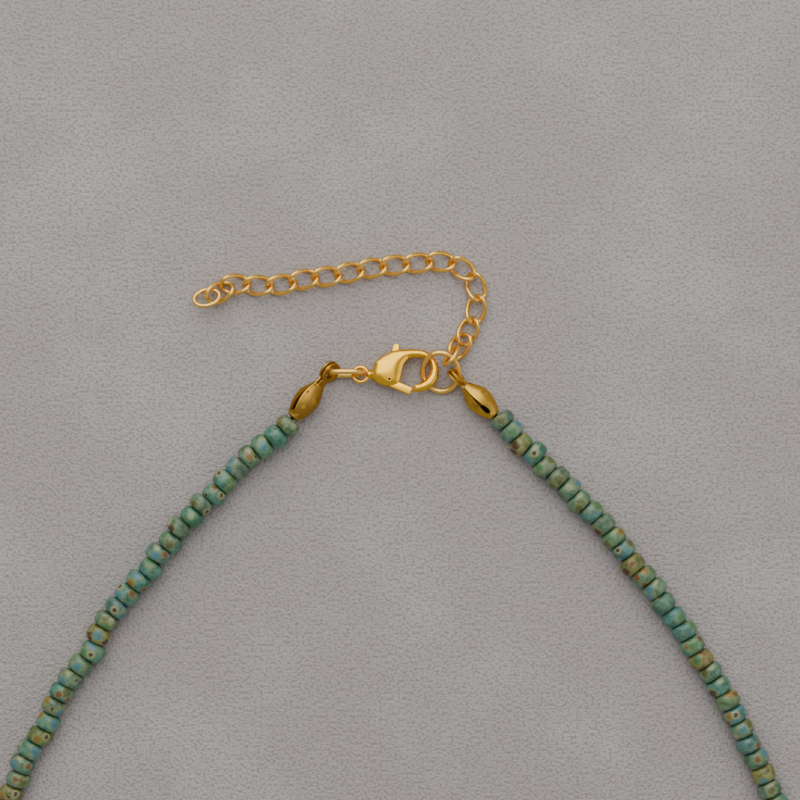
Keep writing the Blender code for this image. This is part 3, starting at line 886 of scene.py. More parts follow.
@dataclass(frozen=True)
class BeadString:
    """The whole string of beads with its cord.

    No two beads are quite alike: the last named shares say how far each differs from the next in
    spacing, place, size, roundness, squareness and tint, and lean is in degrees.
    """

    radius: float = 1.69 * MM
    pitch: float = 2.19 * MM
    hole: float = 0.42 * MM
    clearance: float = 0.03 * MM
    floor_gap: float = 0.02 * MM
    first_left: float = 2.57 * MM
    first_right: float = 1.86 * MM
    roundness: float = 0.66
    side_roundness: float = 0.9
    bore: float = 0.93
    bore_reach: float = 0.8
    bore_rings: int = 5
    around: int = 40
    along: int = 18
    cord_radius: float = 0.22 * MM
    cord_past: float = 1.4 * MM
    cord_height: float = 0.95
    cord_sides: int = 12
    knot: float = 0.62 * MM
    knot_form: tuple[float, ...] = (0.7, 1.0, 0.55)
    lots: int = 7
    seed_step: float = 3.7 * MM
    uneven_step: float = 0.08
    uneven_place: float = 0.12 * MM
    smallest: float = 0.95
    lump: float = 0.012
    slant: float = 0.045
    lean: float = 3.5
    uneven_tint: float = 0.14
    spot_height: float = 0.3

    def plan(self, route: Route) -> list[Bead]:
        """Decides every bead: those in view by the charts, and the others by chance.

        Args:
            route: the route that they follow.

        Returns:
            The beads in order from the left bead tip.
        """
        chance = random.Random(self.lots)
        left = self._read(self.first_left, LEFT_STEPS, LEFT_JOGS, LEFT_CHART)
        right = self._read(self.first_right, RIGHT_STEPS, RIGHT_JOGS, RIGHT_CHART)
        right = [(route.length - place, jog, word) for place, jog, word in reversed(right)]
        span = right[0][0] - left[-1][0]
        count = round(span / self.pitch)
        steps = [1 + chance.uniform(-self.uneven_step, self.uneven_step) for _ in range(count)]
        hidden = []
        for number in range(count - 1):
            place = left[-1][0] + span * sum(steps[: number + 1]) / sum(steps)
            jog = chance.uniform(-self.uneven_place, self.uneven_place)
            hidden.append((place, jog, self._random_word(chance)))
        rows = left + hidden + right
        middles = np.array([row[0] for row in rows])
        borders = (middles[1:] + middles[:-1]) / 2
        borders = np.concatenate([[2 * middles[0] - borders[0]], borders, [2 * middles[-1] - borders[-1]]])
        return [
            Bead(
                (low + high) / 2,
                jog,
                high - low - self.clearance,
                self.radius * chance.uniform(self.smallest, 1.0),
                Hue(word[0]),
                [Spot(Hue(word[i]), int(word[i + 1])) for i in range(1, len(word), 2)],
                number,
            )
            for number, ((_, jog, word), low, high) in enumerate(zip(rows, borders[:-1], borders[1:]))
        ]

    def _read(self, first: float, steps: str, jogs: str, chart: str) -> list[tuple[float, float, str]]:
        """Distance, sideways place and word of each bead in view."""
        places = first + np.concatenate([[0], np.cumsum([STEP_UNIT * int(step) for step in steps.split()])])
        rows = zip(places, jogs.split(), chart.split())
        return [(float(place), JOG_UNIT * int(jog), word) for place, jog, word in rows]

    def _random_word(self, chance: random.Random) -> str:
        """A word for a bead out of view, with up to as many spots as the glaze takes."""
        count = chance.randint(0, Glaze.spots)
        spots = [f"{chance.choice(SPOTS_OUT_OF_VIEW)}{chance.randint(1, 9)}" for _ in range(count)]
        return chance.choice(HUES_OUT_OF_VIEW) + "".join(spots)

    def _shape(self, bead: Bead, chance: random.Random) -> np.ndarray:
        """Corners of one bead around the X axis, as rings of its outline."""
        bulge = np.linspace(0, math.pi, self.along)
        half = bead.length / 2
        x = -half * np.sign(np.cos(bulge)) * np.abs(np.cos(bulge)) ** self.roundness
        side = np.sin(bulge).clip(0, 1) ** (self.roundness * self.side_roundness)
        x = np.concatenate([x, np.linspace(self.bore_reach, -self.bore_reach, self.bore_rings) * half])
        r = self.hole + (bead.radius - self.hole) * side
        r = np.concatenate([r, np.full(self.bore_rings, self.hole * self.bore)])
        turns = turns_of(self.around)[:, None]
        lumps = sum(
            chance.uniform(-self.lump, self.lump) * np.cos(k * turns + chance.uniform(0, 6.3))
            for k in (1, 2, 3, 5)
        )
        slant = chance.uniform(-self.slant, self.slant)
        swell = r * (1 + lumps)
        return np.stack([x + slant * r * np.cos(turns), swell * np.cos(turns), swell * np.sin(turns)], axis=2)

    def _corners(self, bead: Bead, route: Route) -> np.ndarray:
        """Corners of one bead in its place."""
        chance = random.Random(bead.seed * 31 + 5)
        middle, heading = route.at(bead.along)
        side = Vector((-math.sin(heading), math.cos(heading)))
        place = middle + bead.jog * side
        lean = heading + math.radians(chance.uniform(-self.lean, self.lean))
        turn = Matrix.Rotation(lean, 3, "Z") @ Matrix.Rotation(chance.uniform(0, 6.28), 3, "X")
        corners = self._shape(bead, chance).reshape(-1, 3) @ np.array(turn).T
        height = self.floor_gap - corners[:, 2].min()
        return corners + np.array((place.x, place.y, height))

    def build(self, route: Route, strands: list[str], finish: bpy.types.Material) -> list[Bead]:
        """Builds the beads, one piece for each packed strand.

        Args:
            route: the route that they follow.
            strands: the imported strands, in order.
            finish: the beads' glaze.

        Returns:
            The beads.
        """
        beads = self.plan(route)
        for number, strand in enumerate(strands):
            here = [bead for bead in beads if route.strand_at(bead.along) == number]
            corners = [self._corners(bead, route) for bead in here]
            each = len(corners[0])
            sides = each // self.around
            faces = [f for i in range(len(here)) for f in loft_faces(self.around, sides, True, i * each)]
            mesh = mesh_from(f"beads_{number + 1:02d}", np.vstack(corners), faces)
            self._carry(mesh, here, corners)
            dress(mesh.name, mesh, finish, (strand,))
        return beads

    def _carry(self, mesh: bpy.types.Mesh, beads: list[Bead], corners: list[np.ndarray]) -> None:
        """Writes what the glaze reads: each bead's tint, seed and spots, on all of its corners."""
        each = len(corners[0])
        self._attribute(mesh, "bead_seed", "FLOAT", [[bead.seed * self.seed_step] for bead in beads], each)
        tints = []
        for bead in beads:
            chance = random.Random(bead.seed)
            own = [1 + chance.uniform(-self.uneven_tint, self.uneven_tint) for _ in range(3)]
            tints.append([part * share for part, share in zip(SHADES[bead.hue].colour, own)] + [1])
        self._attribute(mesh, "bead_tint", "FLOAT_COLOR", tints, each)
        for number in range(Glaze.spots):
            places, sizes, colours, eyes = [], [], [], []
            for bead, points in zip(beads, corners):
                spot = bead.spots[number] if number < len(bead.spots) else None
                places.append(self._spot_place(bead, points, spot) if spot else (0, 0, 0))
                sizes.append([SHADES[spot.hue].size if spot else 1e-9])
                colours.append([*(SHADES[spot.hue].colour if spot else (0, 0, 0)), 1])
                eyes.append([float(bool(spot) and spot.hue is Hue.EYE)])
            self._attribute(mesh, f"spot{number}_place", "FLOAT_VECTOR", places, each)
            self._attribute(mesh, f"spot{number}_size", "FLOAT", sizes, each)
            self._attribute(mesh, f"spot{number}_tint", "FLOAT_COLOR", colours, each)
            self._attribute(mesh, f"spot{number}_eye", "FLOAT", eyes, each)

    def _attribute(self, mesh: bpy.types.Mesh, name: str, kind: str, rows: list, each: int) -> None:
        """Adds one attribute that is the same on all corners of a bead."""
        field = {"FLOAT": "value", "FLOAT_COLOR": "color", "FLOAT_VECTOR": "vector"}[kind]
        values = np.repeat(np.array(rows, np.float32), each, axis=0)
        mesh.attributes.new(name, kind, "POINT").data.foreach_set(field, values.ravel())

    def _spot_place(self, bead: Bead, points: np.ndarray, spot: Spot) -> np.ndarray:
        """The corner on top of the bead that is nearest to a spot's place seen from above."""
        middle = points.mean(axis=0)
        upper = points[points[:, 2] > middle[2] + self.spot_height * bead.radius]
        target = middle[:2] + np.array(spot.offset()) * bead.radius
        return upper[np.argmin(np.linalg.norm(upper[:, :2] - target, axis=1))]

    def build_cord(self, route: Route, beads: list[Bead], finish: bpy.types.Material) -> None:
        """Builds the cord through the beads, and the knot at each end, inside the bead tips."""
        marks = np.linspace(-self.cord_past, route.length + self.cord_past, 2 * len(beads))
        height = self.floor_gap + self.cord_height * self.radius
        path = np.array([(*route.at(mark)[0], height) for mark in marks])
        radii = np.full(len(path), self.cord_radius)
        for i, share in enumerate(self.knot_form):
            radii[i] = radii[-1 - i] = self.knot * share
        mesh = tube("bead_cord", path, radii, self.cord_sides, closed=False)
        dress(mesh.name, mesh, finish)


# Rings and chain


@dataclass(frozen=True)
class WireRing:
    """A round wire bent into a ring or link, with the fine cut where its ends meet.

    Sizes are in millimetres: outer length and width, wire, how far each quarter is twisted out of the
    plane, how far it is moved along its length, how square its ends are, and where the cut is, in degrees.
    Each end is eased: over the last share of a step, the wire is a little thinner.
    """

    length: float
    width: float
    wire: float
    twist: float = 0.0
    shift: float = 0.0
    fullness: float = 0.0
    cut_at: float = 90.0
    cut: float = 0.035
    eased_step: float = 0.02
    eased_wire: float = 0.9
    around: int = 96
    sides: int = 16

    def mesh(self, name: str) -> bpy.types.Mesh:
        """The ring around the origin, in millimetres."""
        a, b = (self.length - self.wire) / 2, (self.width - self.wire) / 2
        gap = self.cut / 2 / max(a, b)
        turns = np.linspace(gap, 2 * math.pi - gap, self.around) + math.radians(self.cut_at)
        path = np.stack(
            [
                self.shift + a * self._fuller(np.cos(turns)),
                b * self._fuller(np.sin(turns)),
                -self.twist * np.sin(2 * turns),
            ],
            axis=1,
        )
        start = path[0] - (path[1] - path[0]) * self.eased_step
        stop = path[-1] + (path[-1] - path[-2]) * self.eased_step
        radii = np.full(self.around + 2, self.wire / 2)
        radii[0] = radii[-1] = self.eased_wire * self.wire / 2
        made = tube(name, np.vstack([start, path, stop]), radii, self.sides, closed=False)
        smooth_but(made, Crease.WIRE)
        return made

    def lay(self, node: str, finish: bpy.types.Material) -> None:
        """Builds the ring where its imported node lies."""
        mesh = rested(in_place(self.mesh(f"{node}_wire"), ring_place(node)))
        dress(mesh.name, mesh, finish, (node,))

    def _fuller(self, value: np.ndarray) -> np.ndarray:
        """The values pushed towards 1 or -1."""
        return np.sign(value) * np.abs(value) ** (1 - self.fullness)


@dataclass(frozen=True)
class Chain:
    """The extender: a plain connector, curb links and the end ring."""

    link: WireRing = WireRing(4.3, 2.9, 0.57, twist=0.58)
    connector: WireRing = WireRing(3.7, 2.9, 0.57, shift=0.3)
    end_ring: WireRing = WireRing(4.0, 3.05, 0.57, cut_at=200)
    links: int = 16

    def build(self, finish: bpy.types.Material) -> None:
        """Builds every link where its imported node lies."""
        names = {f"extender_link_{i + 1:02d}": self.link for i in range(self.links)}
        names |= {"extender_connector": self.connector, "extender_end_ring": self.end_ring}
        for node, shape in names.items():
            shape.lay(node, finish)


@dataclass(frozen=True)
class JumpRings:
    """The large ring that the clasp holds, and the small ring in the clasp's eye."""

    large: WireRing = WireRing(6.32, 5.57, 0.74, cut_at=205, around=128, sides=20)
    small: WireRing = WireRing(5.14, 3.34, 0.74, fullness=0.3, cut_at=262, around=128, sides=20)

    def build(self, finish: bpy.types.Material) -> None:
        """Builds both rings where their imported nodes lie."""
        self.large.lay("large_jump_ring", finish)
        self.small.lay("small_jump_ring", finish)


# Clasp

# Outlines as shares of the body's length, around the lever's pivot
HOOK_OUTLINE = (
    (-0.266, 0.130), (-0.240, 0.198), (-0.209, 0.277), (-0.098, 0.362), (0.041, 0.434),
    (0.163, 0.462), (0.325, 0.467), (0.463, 0.461), (0.571, 0.429), (0.661, 0.356),
    (0.724, 0.260), (0.748, 0.147), (0.732, 0.022), (0.668, -0.082), (0.564, -0.148),
    (0.452, -0.180), (0.336, -0.178), (0.384, -0.070), (0.463, -0.051), (0.548, 0.002),
    (0.602, 0.079), (0.624, 0.169), (0.602, 0.266), (0.537, 0.328), (0.463, 0.344),
    (0.362, 0.345), (0.294, 0.324), (0.249, 0.282), (0.212, 0.220), (0.190, 0.141),
    (0.172, 0.056), (0.156, -0.011), (0.119, -0.054), (0.056, -0.084), (-0.017, -0.093),
    (-0.096, -0.085), (-0.186, -0.040), (-0.266, 0.034),
)
GATE_OUTLINE = (
    (0.339, -0.111), (0.122, -0.023), (0.070, 0.011), (-0.070, 0.011), (-0.054, -0.060),
    (-0.020, -0.092), (0.030, -0.118), (0.286, -0.222),
)
NUB_OUTLINE = (
    (0.070, 0.011), (0.075, 0.102), (0.160, 0.515), (0.152, 0.538), (0.127, 0.550),
    (0.090, 0.550), (0.063, 0.537), (0.050, 0.512), (-0.047, 0.102), (-0.070, 0.011),
)
EYE_MIDDLE = (-0.435, 0.087)


@dataclass(frozen=True)
class Clasp:
    """The lobster clasp.

    Sizes are in millimetres, around the lever's pivot. Places of the cheeks, and how far the gate's
    end passes its outline, are shares of the body's length. Cutting tools end beyond the faces.
    """

    body: float = 8.85
    hook_thickness: float = 1.45
    hook_reach: float = 0.46
    hook_rim: float = 0.36
    cheek_thickness: float = 2.5
    cheek_reach: float = 1.7
    cheek_rim: float = 0.50
    cheek_middle: tuple[float, float] = (-0.06, 0.12)
    cheek_ends: tuple[float, float] = (0.28, 0.66)
    blank_rounding: float = 0.1
    swell: float = 0.85
    ease: int = 12
    skin_passes: int = 6
    voxel: float = 0.06
    eye_diameter: float = 2.5
    eye_wire: float = 0.52
    eye_sides: int = 64
    stem_radii: tuple[float, ...] = (0.50, 0.52, 0.54, 0.57, 0.62, 0.69, 0.77, 0.85)
    stem_step: float = 0.13
    stem_overlap: float = 0.05
    wire_sides: int = 16
    lever_thickness: float = 0.84
    lever_rounding: float = 0.16
    lever_play: float = 0.05
    gate_past: tuple[tuple[float, float], ...] = ((0.016, -0.008), (0.020, -0.008))
    bore_sides: int = 24
    clearance: float = 0.1
    clearance_sides: int = 12
    opening: float = 25.0
    pin_radius: float = 0.3
    pin_play: float = 0.015
    pin_crown: float = 0.04
    pin_sides: int = 32
    punch: float = 0.19
    punch_lip: float = 0.02
    punch_depth: float = 1.1
    punch_taper: float = 0.8
    notch: tuple[float, float] = (-0.48, 0.28)
    notch_radii: tuple[float, ...] = (0.05, 0.12, 0.2)
    notch_depth: float = 0.12
    beyond: float = 2.0

    def place(self) -> Matrix:
        """Where the clasp lies: its origin on the pin, and Z along the lever's axis."""
        joint = frame["joints"][0]
        axis = Vector(joint["axis"]).normalized()
        return placed(node_middle("clasp_pin"), Vector((1, 0, 0)), axis)

    def _outline(self, shares: Sequence[tuple[float, float]]) -> np.ndarray:
        """An outline in millimetres."""
        return np.array(shares) * self.body

    def _form(self) -> bpy.types.Mesh:
        """The hook and cheeks as one pear-shaped form, full at the cheeks and slim at the hook.

        Its faces swell with the depth inside the outline. The depth is a smooth one, from how crowded
        the outline is around a point, so that the faces have no ridge.
        """
        outline = self._outline(HOOK_OUTLINE)
        blank = slab("form", [outline], self.cheek_thickness, self.blank_rounding)
        mesh = voxelled(blank, self.voxel, 0)
        points = np.empty(len(mesh.vertices) * 3, np.float32)
        mesh.vertices.foreach_get("co", points)
        points = points.reshape(-1, 3)
        crowd = np.zeros(len(points))
        for start, stop in zip(outline, np.roll(outline, -1, axis=0)):
            side = float(np.linalg.norm(stop - start))
            count = max(1, round(side / self.voxel))
            for share in (np.arange(count) + 0.5) / count:
                gap = np.linalg.norm(points[:, :2] - start - share * (stop - start), axis=1)
                crowd += side / count / np.maximum(gap, self.voxel) ** 3
        inward = math.sqrt(2) / np.sqrt(crowd)
        away = np.linalg.norm(points[:, :2] / self.body - self.cheek_middle, axis=1)
        slim = eased(away, *self.cheek_ends)
        reach = self.cheek_reach + (self.hook_reach - self.cheek_reach) * slim
        rim = self.cheek_rim + (self.hook_rim - self.cheek_rim) * slim
        full = 1 + (self.hook_thickness / self.cheek_thickness - 1) * slim
        crowned = (1 - (1 - np.clip(inward / reach, 0, 1)) ** 2) ** self.swell
        points[:, 2] *= full * (rim + (1 - rim) * crowned)
        mesh.vertices.foreach_set("co", points.ravel())
        mesh.update()
        holder = bpy.data.objects.new("form", mesh)
        ease = holder.modifiers.new("ease", "SMOOTH")
        ease.use_x = ease.use_y = False
        ease.iterations = self.ease
        return evaluated(holder)

    def _swept(self, name: str, shares: Sequence[tuple[float, float]]) -> bpy.types.Mesh:
        """The space that an arm of the lever sweeps as it opens, grown by the clearance."""
        work = bmesh.new()
        height = self.lever_thickness / 2 + self.clearance
        for degrees in (0.0, self.opening):
            turned = Matrix.Rotation(math.radians(degrees), 2)
            for x, y in self._outline(shares):
                middle = turned @ Vector((x, y))
                for turn in turns_of(self.clearance_sides):
                    for side in (-height, height):
                        place = middle + self.clearance * Vector((math.cos(turn), math.sin(turn)))
                        work.verts.new((*place, side))
        hull = bmesh.ops.convex_hull(work, input=work.verts)
        bmesh.ops.delete(work, geom=hull["geom_interior"], context="VERTS")
        bmesh.ops.recalc_face_normals(work, faces=work.faces)
        made = bpy.data.meshes.new(name)
        work.to_mesh(made)
        work.free()
        return made

    def _round(
        self, name: str, rows: Sequence[tuple[float, float]], middle: tuple[float, float] = (0, 0)
    ) -> bpy.types.Mesh:
        """A turned form along Z, from rows of radius and height."""
        (x, y), turns = middle, turns_of(self.pin_sides)
        rings = [[(x + r * math.cos(t), y + r * math.sin(t), z) for t in turns] for r, z in rows]
        return mesh_from(name, np.array(rings).reshape(-1, 3), loft_faces(len(rows), len(turns), False))

    def _reach_at(self, mesh: bpy.types.Mesh, side: int) -> float:
        """How far the cast reaches along the pin, on its upper or lower side."""
        near = [side * v.co.z for v in mesh.vertices if math.hypot(v.co.x, v.co.y) < self.pin_radius]
        return side * max(near)

    def _in_punch(self, place: Vector, top: float) -> bool:
        """Whether a place on the rivet is inside the punched hole in its head."""
        return math.hypot(place.x, place.y) < self.punch and place.z > top - self.punch_depth - self.pin_crown

    def _eye_and_stem(self) -> list[bpy.types.Mesh]:
        """The ring that the small jump ring passes through, and the stem that joins it to the body."""
        eye_x, eye_y = np.array(EYE_MIDDLE) * self.body
        turns = turns_of(self.eye_sides)
        middle = (self.eye_diameter - self.eye_wire) / 2
        ring = np.stack([eye_x + middle * np.cos(turns), eye_y + middle * np.sin(turns), 0 * turns], axis=1)
        eye = tube("eye", ring, np.full(len(ring), self.eye_wire / 2), self.wire_sides, closed=True)
        root = eye_x + middle - self.stem_overlap
        path = np.array([(root + self.stem_step * i, eye_y, 0) for i in range(len(self.stem_radii))])
        return [eye, tube("stem", path, np.array(self.stem_radii), self.wire_sides, closed=False)]

    def build_body(self, finish: bpy.types.Material, dark: bpy.types.Material) -> None:
        """Casts the body, stem and eye as one skin, cuts the lever's slots, and sets the rivet.

        Args:
            finish: the plating.
            dark: the darker gold inside the rivet's punched hole: painted shade in the hole.
        """
        skin = joined("clasp_cast", [self._form(), *self._eye_and_stem()])
        skin = voxelled(skin, self.voxel, self.skin_passes)
        top, bottom = self._reach_at(skin, 1), self._reach_at(skin, -1)
        hole = self.pin_radius + self.pin_play
        notch = list(zip(self.notch_radii, (top - self.notch_depth, top, self.beyond)))
        tools = [
            self._swept("gate_slot", GATE_OUTLINE),
            self._swept("nub_slot", NUB_OUTLINE),
            self._round("pin_hole", [(hole, -self.beyond), (hole, self.beyond)]),
            self._round("notch", notch, self.notch),
        ]
        mesh = cut(skin, tools)
        smooth_but(mesh, Crease.CASTING)
        dress("clasp_casting", in_place(mesh, self.place()), finish, ("clasp_body",))
        self._set_rivet(top, bottom, finish, dark)

    def _set_rivet(
        self, top: float, bottom: float, finish: bpy.types.Material, dark: bpy.types.Material
    ) -> None:
        """Turns the rivet, with a crowned head and a punched hole in it.

        Args:
            top: the height of its head.
            bottom: the height of its foot.
            finish: the plating.
            dark: the darker gold inside the punched hole: painted shade in the hole.
        """
        radius, crown, lip = self.pin_radius, self.pin_crown, self.punch_lip
        rows = [(radius - crown, bottom), (radius, bottom + crown), (radius, top - crown)]
        rows += [(radius - crown, top), (self.punch + lip, top), (self.punch, top - 1.5 * lip)]
        rows += [(self.punch_taper * self.punch, top - self.punch_depth)]
        rivet = self._round("rivet", rows)
        smooth_but(rivet, Crease.RIVET)
        # The faces inside the punched hole take the darker gold: painted shade in the hole.
        deep = [face.index for face in rivet.polygons if self._in_punch(face.center, top)]
        piece = dress("clasp_rivet", in_place(rivet, self.place()), finish, ("clasp_pin",))
        piece.data.materials.append(dark)
        for index in deep:
            piece.data.polygons[index].material_index = 1

    def build_lever(self, finish: bpy.types.Material) -> None:
        """Builds the lever: its gate arm and its thumb nub in one plate."""
        corners = np.array(GATE_OUTLINE[:3] + NUB_OUTLINE[1:] + GATE_OUTLINE[4:])
        corners[[0, -1]] += self.gate_past
        turns = turns_of(self.bore_sides)
        bore = np.stack([np.cos(turns), np.sin(turns)], axis=1) * (self.pin_radius + self.lever_play)
        mesh = slab("lever", [corners * self.body, bore], self.lever_thickness, self.lever_rounding)
        smooth_but(mesh, Crease.LEVER)
        dress("clasp_gate", in_place(mesh, self.place()), finish, ("clasp_lever",), LEVER_BODY)


# Bead tips

# The rolled rim round the cord's hole, in millimetres along the tip and out from its middle
COLLAR_OUTLINE = (
    (-0.28, 0.52), (-0.36, 0.66), (-0.32, 0.80), (-0.18, 0.90), (0.04, 0.94), (0.30, 0.86), (0.30, 0.46),
)


@dataclass(frozen=True)
class BeadTip:
    """A clamshell bead tip: two cups folded at the cord, and a hooked strap on each that goes round a ring.

    Sizes are in millimetres. X runs from the cord's hole to the ring, and the cups part across Y. The
    cups swell as a part of a half wave. They are parted from their fold on, most just past it and least
    from where they are narrowed, and flatter towards the ring. The seam leans from the top to the left
    of the way to the ring, in degrees.
    """

    lean: float
    tab_reach: float
    tab_diameter: float
    tab_hole: float
    tab_past: float
    tab_strap: float = 1.0
    length: float = 5.2
    diameter: float = 3.4
    wave_start: float = 0.17
    wave_length: float = 0.655
    wave_power: float = 0.82
    flat: float = 0.28
    flat_from: float = 0.55
    below: float = 0.84
    wall: float = 0.26
    least_radius: float = 0.12
    least_depth: float = 0.3
    seam: float = 0.12
    mouth: float = 0.92
    fold: float = 0.07
    unfolded: float = 0.10
    narrowed: float = 0.78
    narrowing: float = 1.25
    parted: float = 0.01
    lip: float = 0.20
    lip_height: float = 0.7
    collar_sides: int = 32
    collar_height: float = 1.1
    tab_thickness: float = 0.3
    tab_rounding: float = 0.08
    tab_gap: float = 0.25
    strap_ends: tuple[tuple[float, float], ...] = ((0.2, 0.54), (0.9, 0.42))
    slit: float = 7.0
    tab_steps: int = 44
    stations: int = 48
    arc: int = 32

    def place(self, node: str, towards: Vector) -> Matrix:
        """Where a packed bead tip lies.

        Args:
            node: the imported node.
            towards: a place on the ring's side of it.

        Returns:
            Its placement.
        """
        points = node_points(node)
        parting, _, along = main_ways(points)
        if along.dot(towards - Vector(points.mean(axis=0))) < 0:
            along = -along
        origin = Vector()
        for way, middle in ((parting, True), (along.cross(parting), True), (along, False)):
            reach = points @ np.array(way)
            whole = self.length + self.tab_reach + self.tab_diameter / 2 - self.tab_past
            origin += way * ((reach.min() + reach.max()) / 2 if middle else reach.max() - whole * MM)
        left = Vector((0, 0, 1)).cross(along).normalized()
        turn = math.radians(self.lean)
        seam = math.cos(turn) * along.cross(left) + math.sin(turn) * left
        return placed(origin, along, seam)

    def _radius(self, share: np.ndarray) -> np.ndarray:
        """The cups' radius at a share of their length."""
        wave = np.sin(math.pi * (self.wave_start + self.wave_length * share))
        return self.diameter / 2 * wave**self.wave_power

    def _parting(self, share: float) -> float:
        """Half the gap between the cups at a share of their length."""
        closing = math.sqrt(min(1.0, max(0.0, (share - self.fold) / self.unfolded)))
        opening = max(0.0, 1 - share / self.narrowed) ** self.narrowing
        return closing * (self.seam + (self.mouth - self.seam) * opening) / 2

    def _cup(self, side: int) -> bpy.types.Mesh:
        """One cup, a shell with a rolled lip along its parting edge."""
        shares = (1 - np.cos(np.linspace(0, math.pi, self.stations))) / 2
        outer = self._radius(shares)
        inner = np.maximum(outer - self.wall, self.least_radius)
        rings = []
        for share, big, small in zip(shares, outer, inner):
            start = math.asin(min(0.9, self._parting(share) / big))
            turns = np.linspace(start, math.pi - start, self.arc)
            edge = np.minimum(turns - start, math.pi - start - turns) * big
            grown = big + self.lip_height * self.lip * np.exp(-((edge / self.lip) ** 2))
            there = [(g * math.cos(t), g * math.sin(t)) for g, t in zip(grown, turns)]
            deep = max(small, self.least_depth)
            back = [(small * math.cos(t), deep * math.sin(t)) for t in turns[::-1]]
            thin = 1 - self.flat * eased(share, self.flat_from, 1)
            flattened = [
                (z * (self.below if z < 0 else 1.0), y * thin + self.parted) for z, y in there + back
            ]
            rings.append([(share * self.length, side * y, z) for z, y in flattened])
        faces = loft_faces(len(rings), 2 * self.arc, False)
        made = mesh_from(f"cup{side}", np.array(rings).reshape(-1, 3), faces)
        smooth_but(made, Crease.SHELL)
        return made

    def _collar(self) -> bpy.types.Mesh:
        """The rolled rim round the cord's hole."""
        tall = self.collar_height
        turns = turns_of(self.collar_sides)
        rings = [[(x, r * math.cos(t), tall * r * math.sin(t)) for x, r in COLLAR_OUTLINE] for t in turns]
        faces = loft_faces(len(turns), len(COLLAR_OUTLINE), True)
        made = mesh_from("collar", np.array(rings).reshape(-1, 3), faces)
        smooth_but(made, Crease.SHELL)
        return made

    def _tab(self, side: int) -> bpy.types.Mesh:
        """One tab, a strap that hooks round and nearly meets itself again."""
        reach, big, small = self.length + self.tab_reach, self.tab_diameter / 2, self.tab_hole / 2
        root = math.pi - math.asin(self.tab_strap / 2 / big)
        slit = root - math.radians(self.slit)
        back = np.linspace(2 * math.pi - root, -slit, self.tab_steps)
        forth = np.linspace(-slit, root, self.tab_steps)
        inner = [(reach + small * math.cos(t), small * math.sin(t)) for t in back]
        outer = [(reach + big * math.cos(t), big * math.sin(t)) for t in forth]
        strap = [(self.length - inside, share * self.tab_strap) for inside, share in self.strap_ends]
        strap += [(x, -y) for x, y in reversed(strap)]
        edge = np.array(inner + outer + strap + [(reach + big * math.cos(root), -big * math.sin(root))])
        edge[:, 1] *= -side
        outline = edge if side < 0 else edge[::-1]
        made = slab(f"tab{side}", [outline], self.tab_thickness, self.tab_rounding)
        upright = Matrix.Rotation(math.pi / 2, 4, "X")
        made.transform(Matrix.Translation((0, side * (self.tab_gap + self.tab_thickness) / 2, 0)) @ upright)
        smooth_but(made, Crease.TAB)
        return made

    def build(self, node: str, towards: Vector, finish: bpy.types.Material) -> None:
        """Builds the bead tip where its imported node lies.

        Args:
            node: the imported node.
            towards: a place on the ring's side of it.
            finish: the plating.
        """
        pieces = [self._cup(-1), self._cup(1), self._collar(), self._tab(-1), self._tab(1)]
        mesh = rested(in_place(joined(f"{node}_shells", pieces), self.place(node, towards)))
        dress(mesh.name, mesh, finish, (node,))


LEFT_TIP = BeadTip(35, tab_reach=2.25, tab_diameter=3.0, tab_hole=1.7, tab_past=0.65, tab_strap=1.3)
RIGHT_TIP = BeadTip(13, tab_reach=1.65, tab_diameter=2.8, tab_hole=1.65, tab_past=0.5)


# Stage


@dataclass(frozen=True)
class Lamp:
    """A square soft light: its place from the middle of the picture, size, power and colour."""

    name: str
    place: tuple[float, float, float]
    size: float
    power: float
    colour: Colour


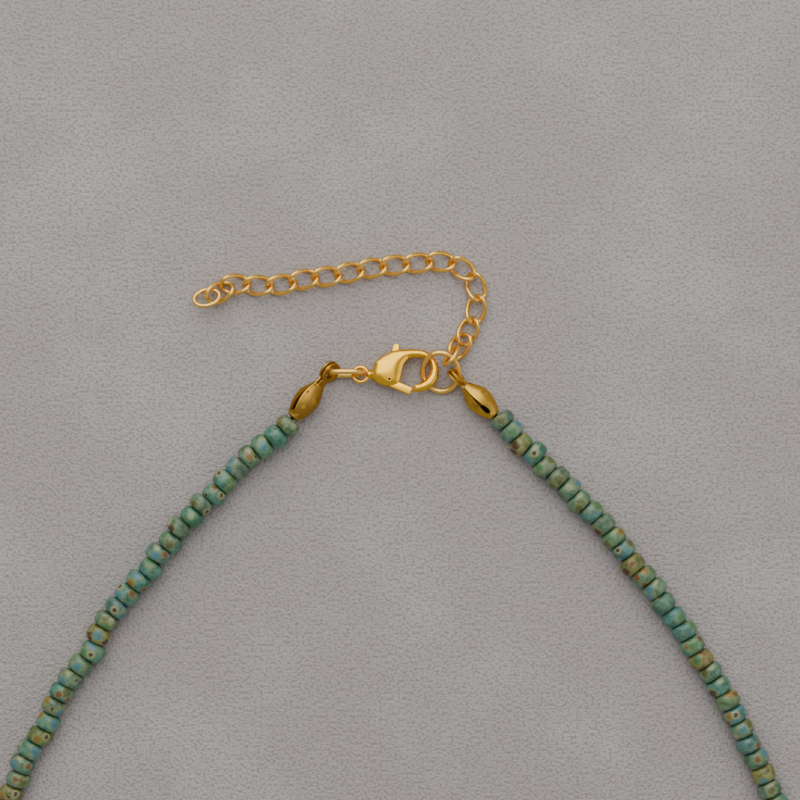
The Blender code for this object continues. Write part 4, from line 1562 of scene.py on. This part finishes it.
@dataclass(frozen=True)
class Stage:
    """The sheet that the necklace lies on, the lights, and the camera straight above."""

    sheet: float = 2.4
    lens: float = 100.0
    sensor: float = 36.0
    nearest: float = 0.01
    bead_height: float = 1.5 * MM
    air: Colour = (0.88, 0.87, 0.86)
    air_strength: float = 0.42
    lamps: tuple[Lamp, ...] = (
        Lamp("key", (-0.06, 0.34, 0.34), 0.60, 2.75, (1.0, 0.97, 0.93)),
        Lamp("top", (0.05, 0.02, 0.60), 0.40, 0.3, (0.95, 0.97, 1.0)),
        Lamp("side", (0.40, -0.10, 0.25), 0.30, 0.25, (1.0, 0.96, 0.9)),
    )

    def build(self, ground: bpy.types.Material) -> None:
        """Builds the sheet, lights and camera."""
        half = self.sheet / 2
        corners = np.array([(-half, -half, 0), (half, -half, 0), (half, half, 0), (-half, half, 0)])
        sheet = new_object("paper_sheet", mesh_from("paper_sheet", corners, [(0, 1, 2, 3)]))
        sheet.data.materials.append(ground)
        middle = node_middle("clasp_pin") + PHOTO_MIDDLE_FROM_PIN
        for lamp in self.lamps:
            self._light(lamp, middle)
        world = bpy.context.scene.world or bpy.data.worlds.new("studio")
        bpy.context.scene.world = world
        world.use_nodes = True
        background = world.node_tree.nodes["Background"]
        background.inputs["Color"].default_value = (*self.air, 1)
        background.inputs["Strength"].default_value = self.air_strength
        self._camera(middle)

    def _light(self, lamp: Lamp, middle: Vector) -> None:
        """Adds a light that points at the middle of the picture."""
        data = bpy.data.lights.new(lamp.name, "AREA")
        data.size = lamp.size
        data.energy = lamp.power
        data.color = lamp.colour
        light = bpy.data.objects.new(lamp.name, data)
        light.location = middle + Vector(lamp.place)
        light.rotation_euler = (-Vector(lamp.place)).to_track_quat("-Z", "Y").to_euler()
        bpy.context.scene.collection.objects.link(light)

    def _camera(self, middle: Vector) -> None:
        """Adds the camera, whose view is as wide as the photograph at the beads' height."""
        data = bpy.data.cameras.new("camera")
        data.lens = self.lens
        data.sensor_width = self.sensor
        data.clip_start = self.nearest
        width = PHOTO_PIXELS / PIXELS_PER_MM * MM
        camera = bpy.data.objects.new("camera", data)
        camera.location = (middle.x, middle.y, self.bead_height + width * self.lens / self.sensor)
        bpy.context.scene.collection.objects.link(camera)
        bpy.context.scene.camera = camera


def main() -> None:
    """Builds the necklace and its stage."""
    logging.basicConfig(level=logging.INFO, format="%(message)s")
    glaze = Glaze().material()
    cord = Cord().material()
    polished, chain_gold, satin, left_tip_gold_and_hole_shade = (
        plate.material() for plate in (POLISHED_GOLD, CHAIN_GOLD, SATIN_GOLD, DARKER_GOLD_AND_HOLE_SHADE)
    )
    strands = sorted(node for node in frame["nodes"] if node.startswith("bead_strand_"))
    route = Route(strands, node_middle("bead_tip_left"))
    string = BeadString()
    beads = string.build(route, strands, glaze)
    string.build_cord(route, beads, cord)
    JumpRings().build(chain_gold)
    Chain().build(chain_gold)
    clasp = Clasp()
    # The darker gold goes inside the rivet's punched hole as painted shade.
    clasp.build_body(polished, left_tip_gold_and_hole_shade)
    clasp.build_lever(polished)
    LEFT_TIP.build("bead_tip_left", node_middle("small_jump_ring"), left_tip_gold_and_hole_shade)
    RIGHT_TIP.build("bead_tip_right", node_middle("large_jump_ring"), satin)
    Stage().build(Ground().material())


if __name__ == "__main__":
    main()
